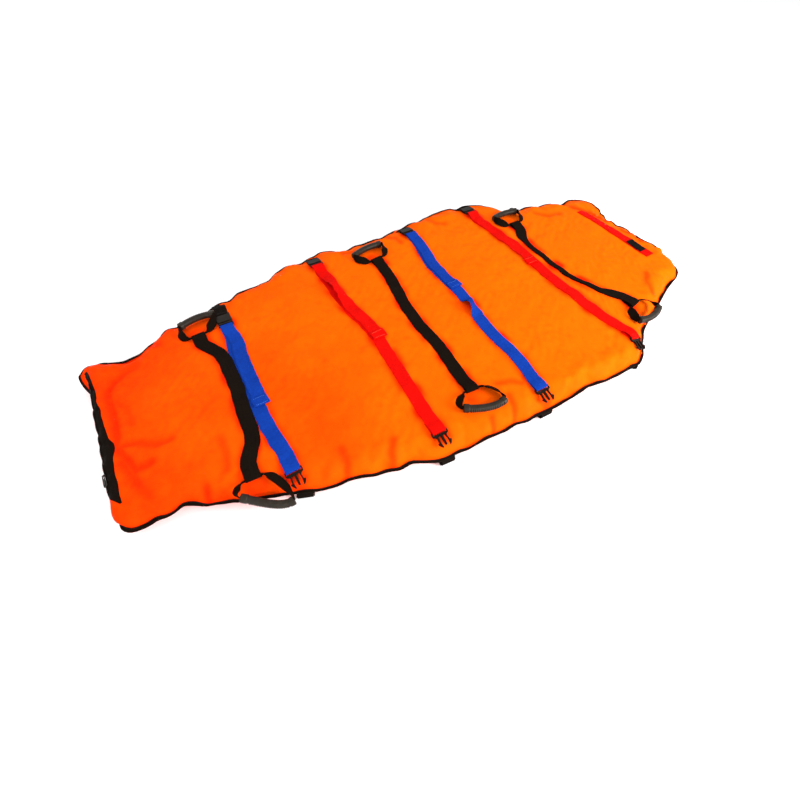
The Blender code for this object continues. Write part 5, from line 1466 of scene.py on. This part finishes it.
def binding():
    """The folded tape round the limp seam, a little uneven, with its stitches."""
    points = [Vector(p) for p in SEAM]
    count = len(points)
    rings, uvs, tops, run = [], [], [], 0.0
    for i, point in enumerate(points):
        along = (points[(i + 1) % count] - points[i - 1]).normalized()
        inward = Vector(SEAM_IN[i]) - point
        inward = (inward - along * inward.dot(along)).normalized()
        up = inward.cross(along)
        if up.z < 0:
            up = -up
        fat = 1 + 0.13 * float(waves(np.array([point.x * 3]), np.array([point.y * 3]), 0.2, 33)[0])
        fat *= 1 + 0.35 * eased((-0.86 - point.x) / 0.06) * (point.y < 0)
        if i:
            run += (point - points[i - 1]).length
        rings.append([point - inward * (u * fat) + up * (w * fat) for u, w in BINDING_SECTION])
        uvs += [(u, run) for u, _ in BINDING_SECTION]
        tops.append((point + inward * 0.0046 * fat + up * (0.0029 * fat), up))
    ringed_piece("edge_tape", rings, "binding", ("edge_binding",), uvs=uvs, closed=True)
    marks = [0.0]
    for i in range(count):
        marks.append(marks[-1] + (tops[(i + 1) % count][0] - tops[i][0]).length)
    for k in range(int(marks[-1] / BINDING_PITCH)):
        ends = []
        for share in (0.12, 0.80):
            distance = (k + share) * BINDING_PITCH
            i = int(np.searchsorted(marks, distance)) - 1
            part = (distance - marks[i]) / max(marks[i + 1] - marks[i], 1e-9)
            ends.append(tops[i][0].lerp(tops[(i + 1) % count][0], part))
        STITCHES["thread_dark"].append((*ends, tops[i][1]))


# The band's reach outward and inward of the coil, at places along Y
ZIP_OUTER = ((-0.215, -0.022), (-0.180, 0.002), (-0.165, 0.0045), (-0.11, 0.0045), (-0.04, 0.005),
             (0.06, 0.005), (0.13, 0.006), (0.19, 0.008), (0.235, 0.011), (0.272, 0.013))
ZIP_INNER = ((-0.215, 0.027), (-0.165, 0.026), (-0.11, 0.025), (-0.060, 0.033), (-0.038, 0.034),
             (-0.012, 0.026), (0.05, 0.020), (0.12, 0.015), (0.19, 0.011), (0.235, 0.006), (0.272, -0.004))
ZIP_SHARES = (-1.0, -0.93, -0.7, -0.45, -0.28, -0.18, 0.0, 0.18, 0.28, 0.5, 0.75, 0.93, 1.0)
ZIP_ROWS = 150
ZIP_THICK = 0.0012
BRINK = 0.013  # where the wall has fallen this far below the coil, the band's outer edge stops
TOOTH_PITCH = 0.0021
TOOTH_RADIUS = 0.0008


def foot_zip():
    """The wide black zip band over the foot end, with its two rows of teeth."""
    line = -LENGTH / 2 + ZIP_LINE
    rings, uvs = [], []
    for i in range(ZIP_ROWS):
        y = ZIP_OUTER[0][0] + (ZIP_OUTER[-1][0] - ZIP_OUTER[0][0]) * i / (ZIP_ROWS - 1)
        outer = through_points(*zip(*ZIP_OUTER), y)
        inner = through_points(*zip(*ZIP_INNER), y)
        inner += 0.0010 * float(waves(np.array([y]), np.array([0.0]), 0.06, 62)[0])
        wide, middle = (outer + inner) / 2, (inner - outer) / 2
        top, low = [], []
        brink = ground(line + 0.004, y) - BRINK
        for share in ZIP_SHARES:
            x = line + middle + share * wide
            while ground(x, y) < brink and x < line + 0.01:
                x += 0.0008
            spot, normal = surface(x, y, 0.0016)
            rim = 1.0 if abs(share) < 0.99 else 0.35
            top.append(spot + normal * (LIE_GAP + ZIP_THICK * rim))
            low.append(spot + normal * LIE_GAP * 0.6)
        rings.append(top + low[::-1])
        uvs += [(share * wide, y) for share in ZIP_SHARES + ZIP_SHARES[::-1]]
    ringed_piece("zip_band", rings, "binding", ("foot_zip",), uvs=uvs)
    verts, faces = [], []
    for k in range(int((ZIP_FAR - ZIP_NEAR) / TOOTH_PITCH)):
        for side in (-1, 1):
            y = ZIP_NEAR + (k + (0.5 if side > 0 else 0.0)) * TOOTH_PITCH
            base, normal = surface(line, y, 0.002)
            base = base + normal * (LIE_GAP + ZIP_THICK)
            across = Vector((normal.z, 0, -normal.x)).normalized()
            faces += tube_faces(4, 6, len(verts))
            for share in (0.0, 0.33, 0.66, 1.0):
                reach = side * 0.0029 * (1 - share) - side * 0.0006 * share
                rise = TOOTH_RADIUS + 0.0006 * sin(pi * share)
                size = TOOTH_RADIUS * (1 if 0 < share < 1 else 0.7)
                for a in range(6):
                    angle = pi / 3 * a
                    verts.append(base + across * reach + Vector((0, size * cos(angle), 0))
                                 + normal * (rise + size * sin(angle)))
    add_piece("zip_teeth", mesh_of("zip_teeth", verts, faces), "plastic", "mattress")


for name, *_ in PATIENT_STRAPS:
    far_tab(name, bars[f"{name}_far"])
    near_tab(name, bars[f"{name}_near"].x)
head_strap()
binding()
foot_zip()
stitch_pieces()

# ---------------------------------------------------------------- painted shade of folds, seams and straps, random patches, and the CAD's own pieces

skin_x, skin_y = SKIN[:, 0], SKIN[:, 1]
# Painted shade: a darker, redder band on both sides of each strap, unevenly strong.
beside = 0.85 * hump(np.maximum(strap_gap(skin_x, skin_y) - 0.020, 0), 0, 0.013)
beside = beside * (0.70 + 0.30 * waves(skin_x, skin_y, 0.09, 71))
# Painted shade along the seam all round the edge.
by_seam = 0.25 * hump(edge_distance(skin_x, skin_y), 0, 0.03)
# Random darker patches: the fabric's own uneven tone.
mottle = waves(skin_x, skin_y, 0.12, 72) * waves(skin_x, skin_y, 0.05, 73)
patches = 0.10 * smooth_step((mottle - 0.5) / 1.2)
# The deep value: the painted shade beside the straps, by the seam and in the folds, and the random patches.
deep = np.maximum(np.maximum(beside, by_seam), np.maximum(0.85 * crease_field(skin_x, skin_y)[1], patches))
cover_mesh.attributes.new("deep", "FLOAT", "POINT").data.foreach_set(
    "value", np.clip(deep, 0, 1).astype(np.float32))


def dress(name, mat, bevel):
    """Give a CAD node its material, and a small bevel of its sharp edges."""
    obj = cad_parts[name]
    if not obj.material_slots:
        obj.data.materials.append(MATS[mat])
    for place in obj.material_slots:
        place.link = "OBJECT"
        place.material = MATS[mat]
    edges = obj.modifiers.new("edges", "BEVEL")
    edges.width = bevel
    edges.segments = 2
    edges.limit_method = "ANGLE"
    edges.angle_limit = radians(40)


for name, *_ in PATIENT_STRAPS:
    for side in ("near", "far"):
        dress(f"{side}_clip_{name}", "plastic", 0.0005)
        dress(f"{side}_socket_{name}", "plastic", 0.0004)
for name, mat, bevel in (("zip_slider", "metal", 0.0003), ("valve_body", "valve", 0.0005),
                         ("valve_nut", "valve", 0.0004), ("valve_cap", "valve", 0.0005),
                         ("valve_plunger", "plunger", 0.0003)):
    dress(name, mat, bevel)
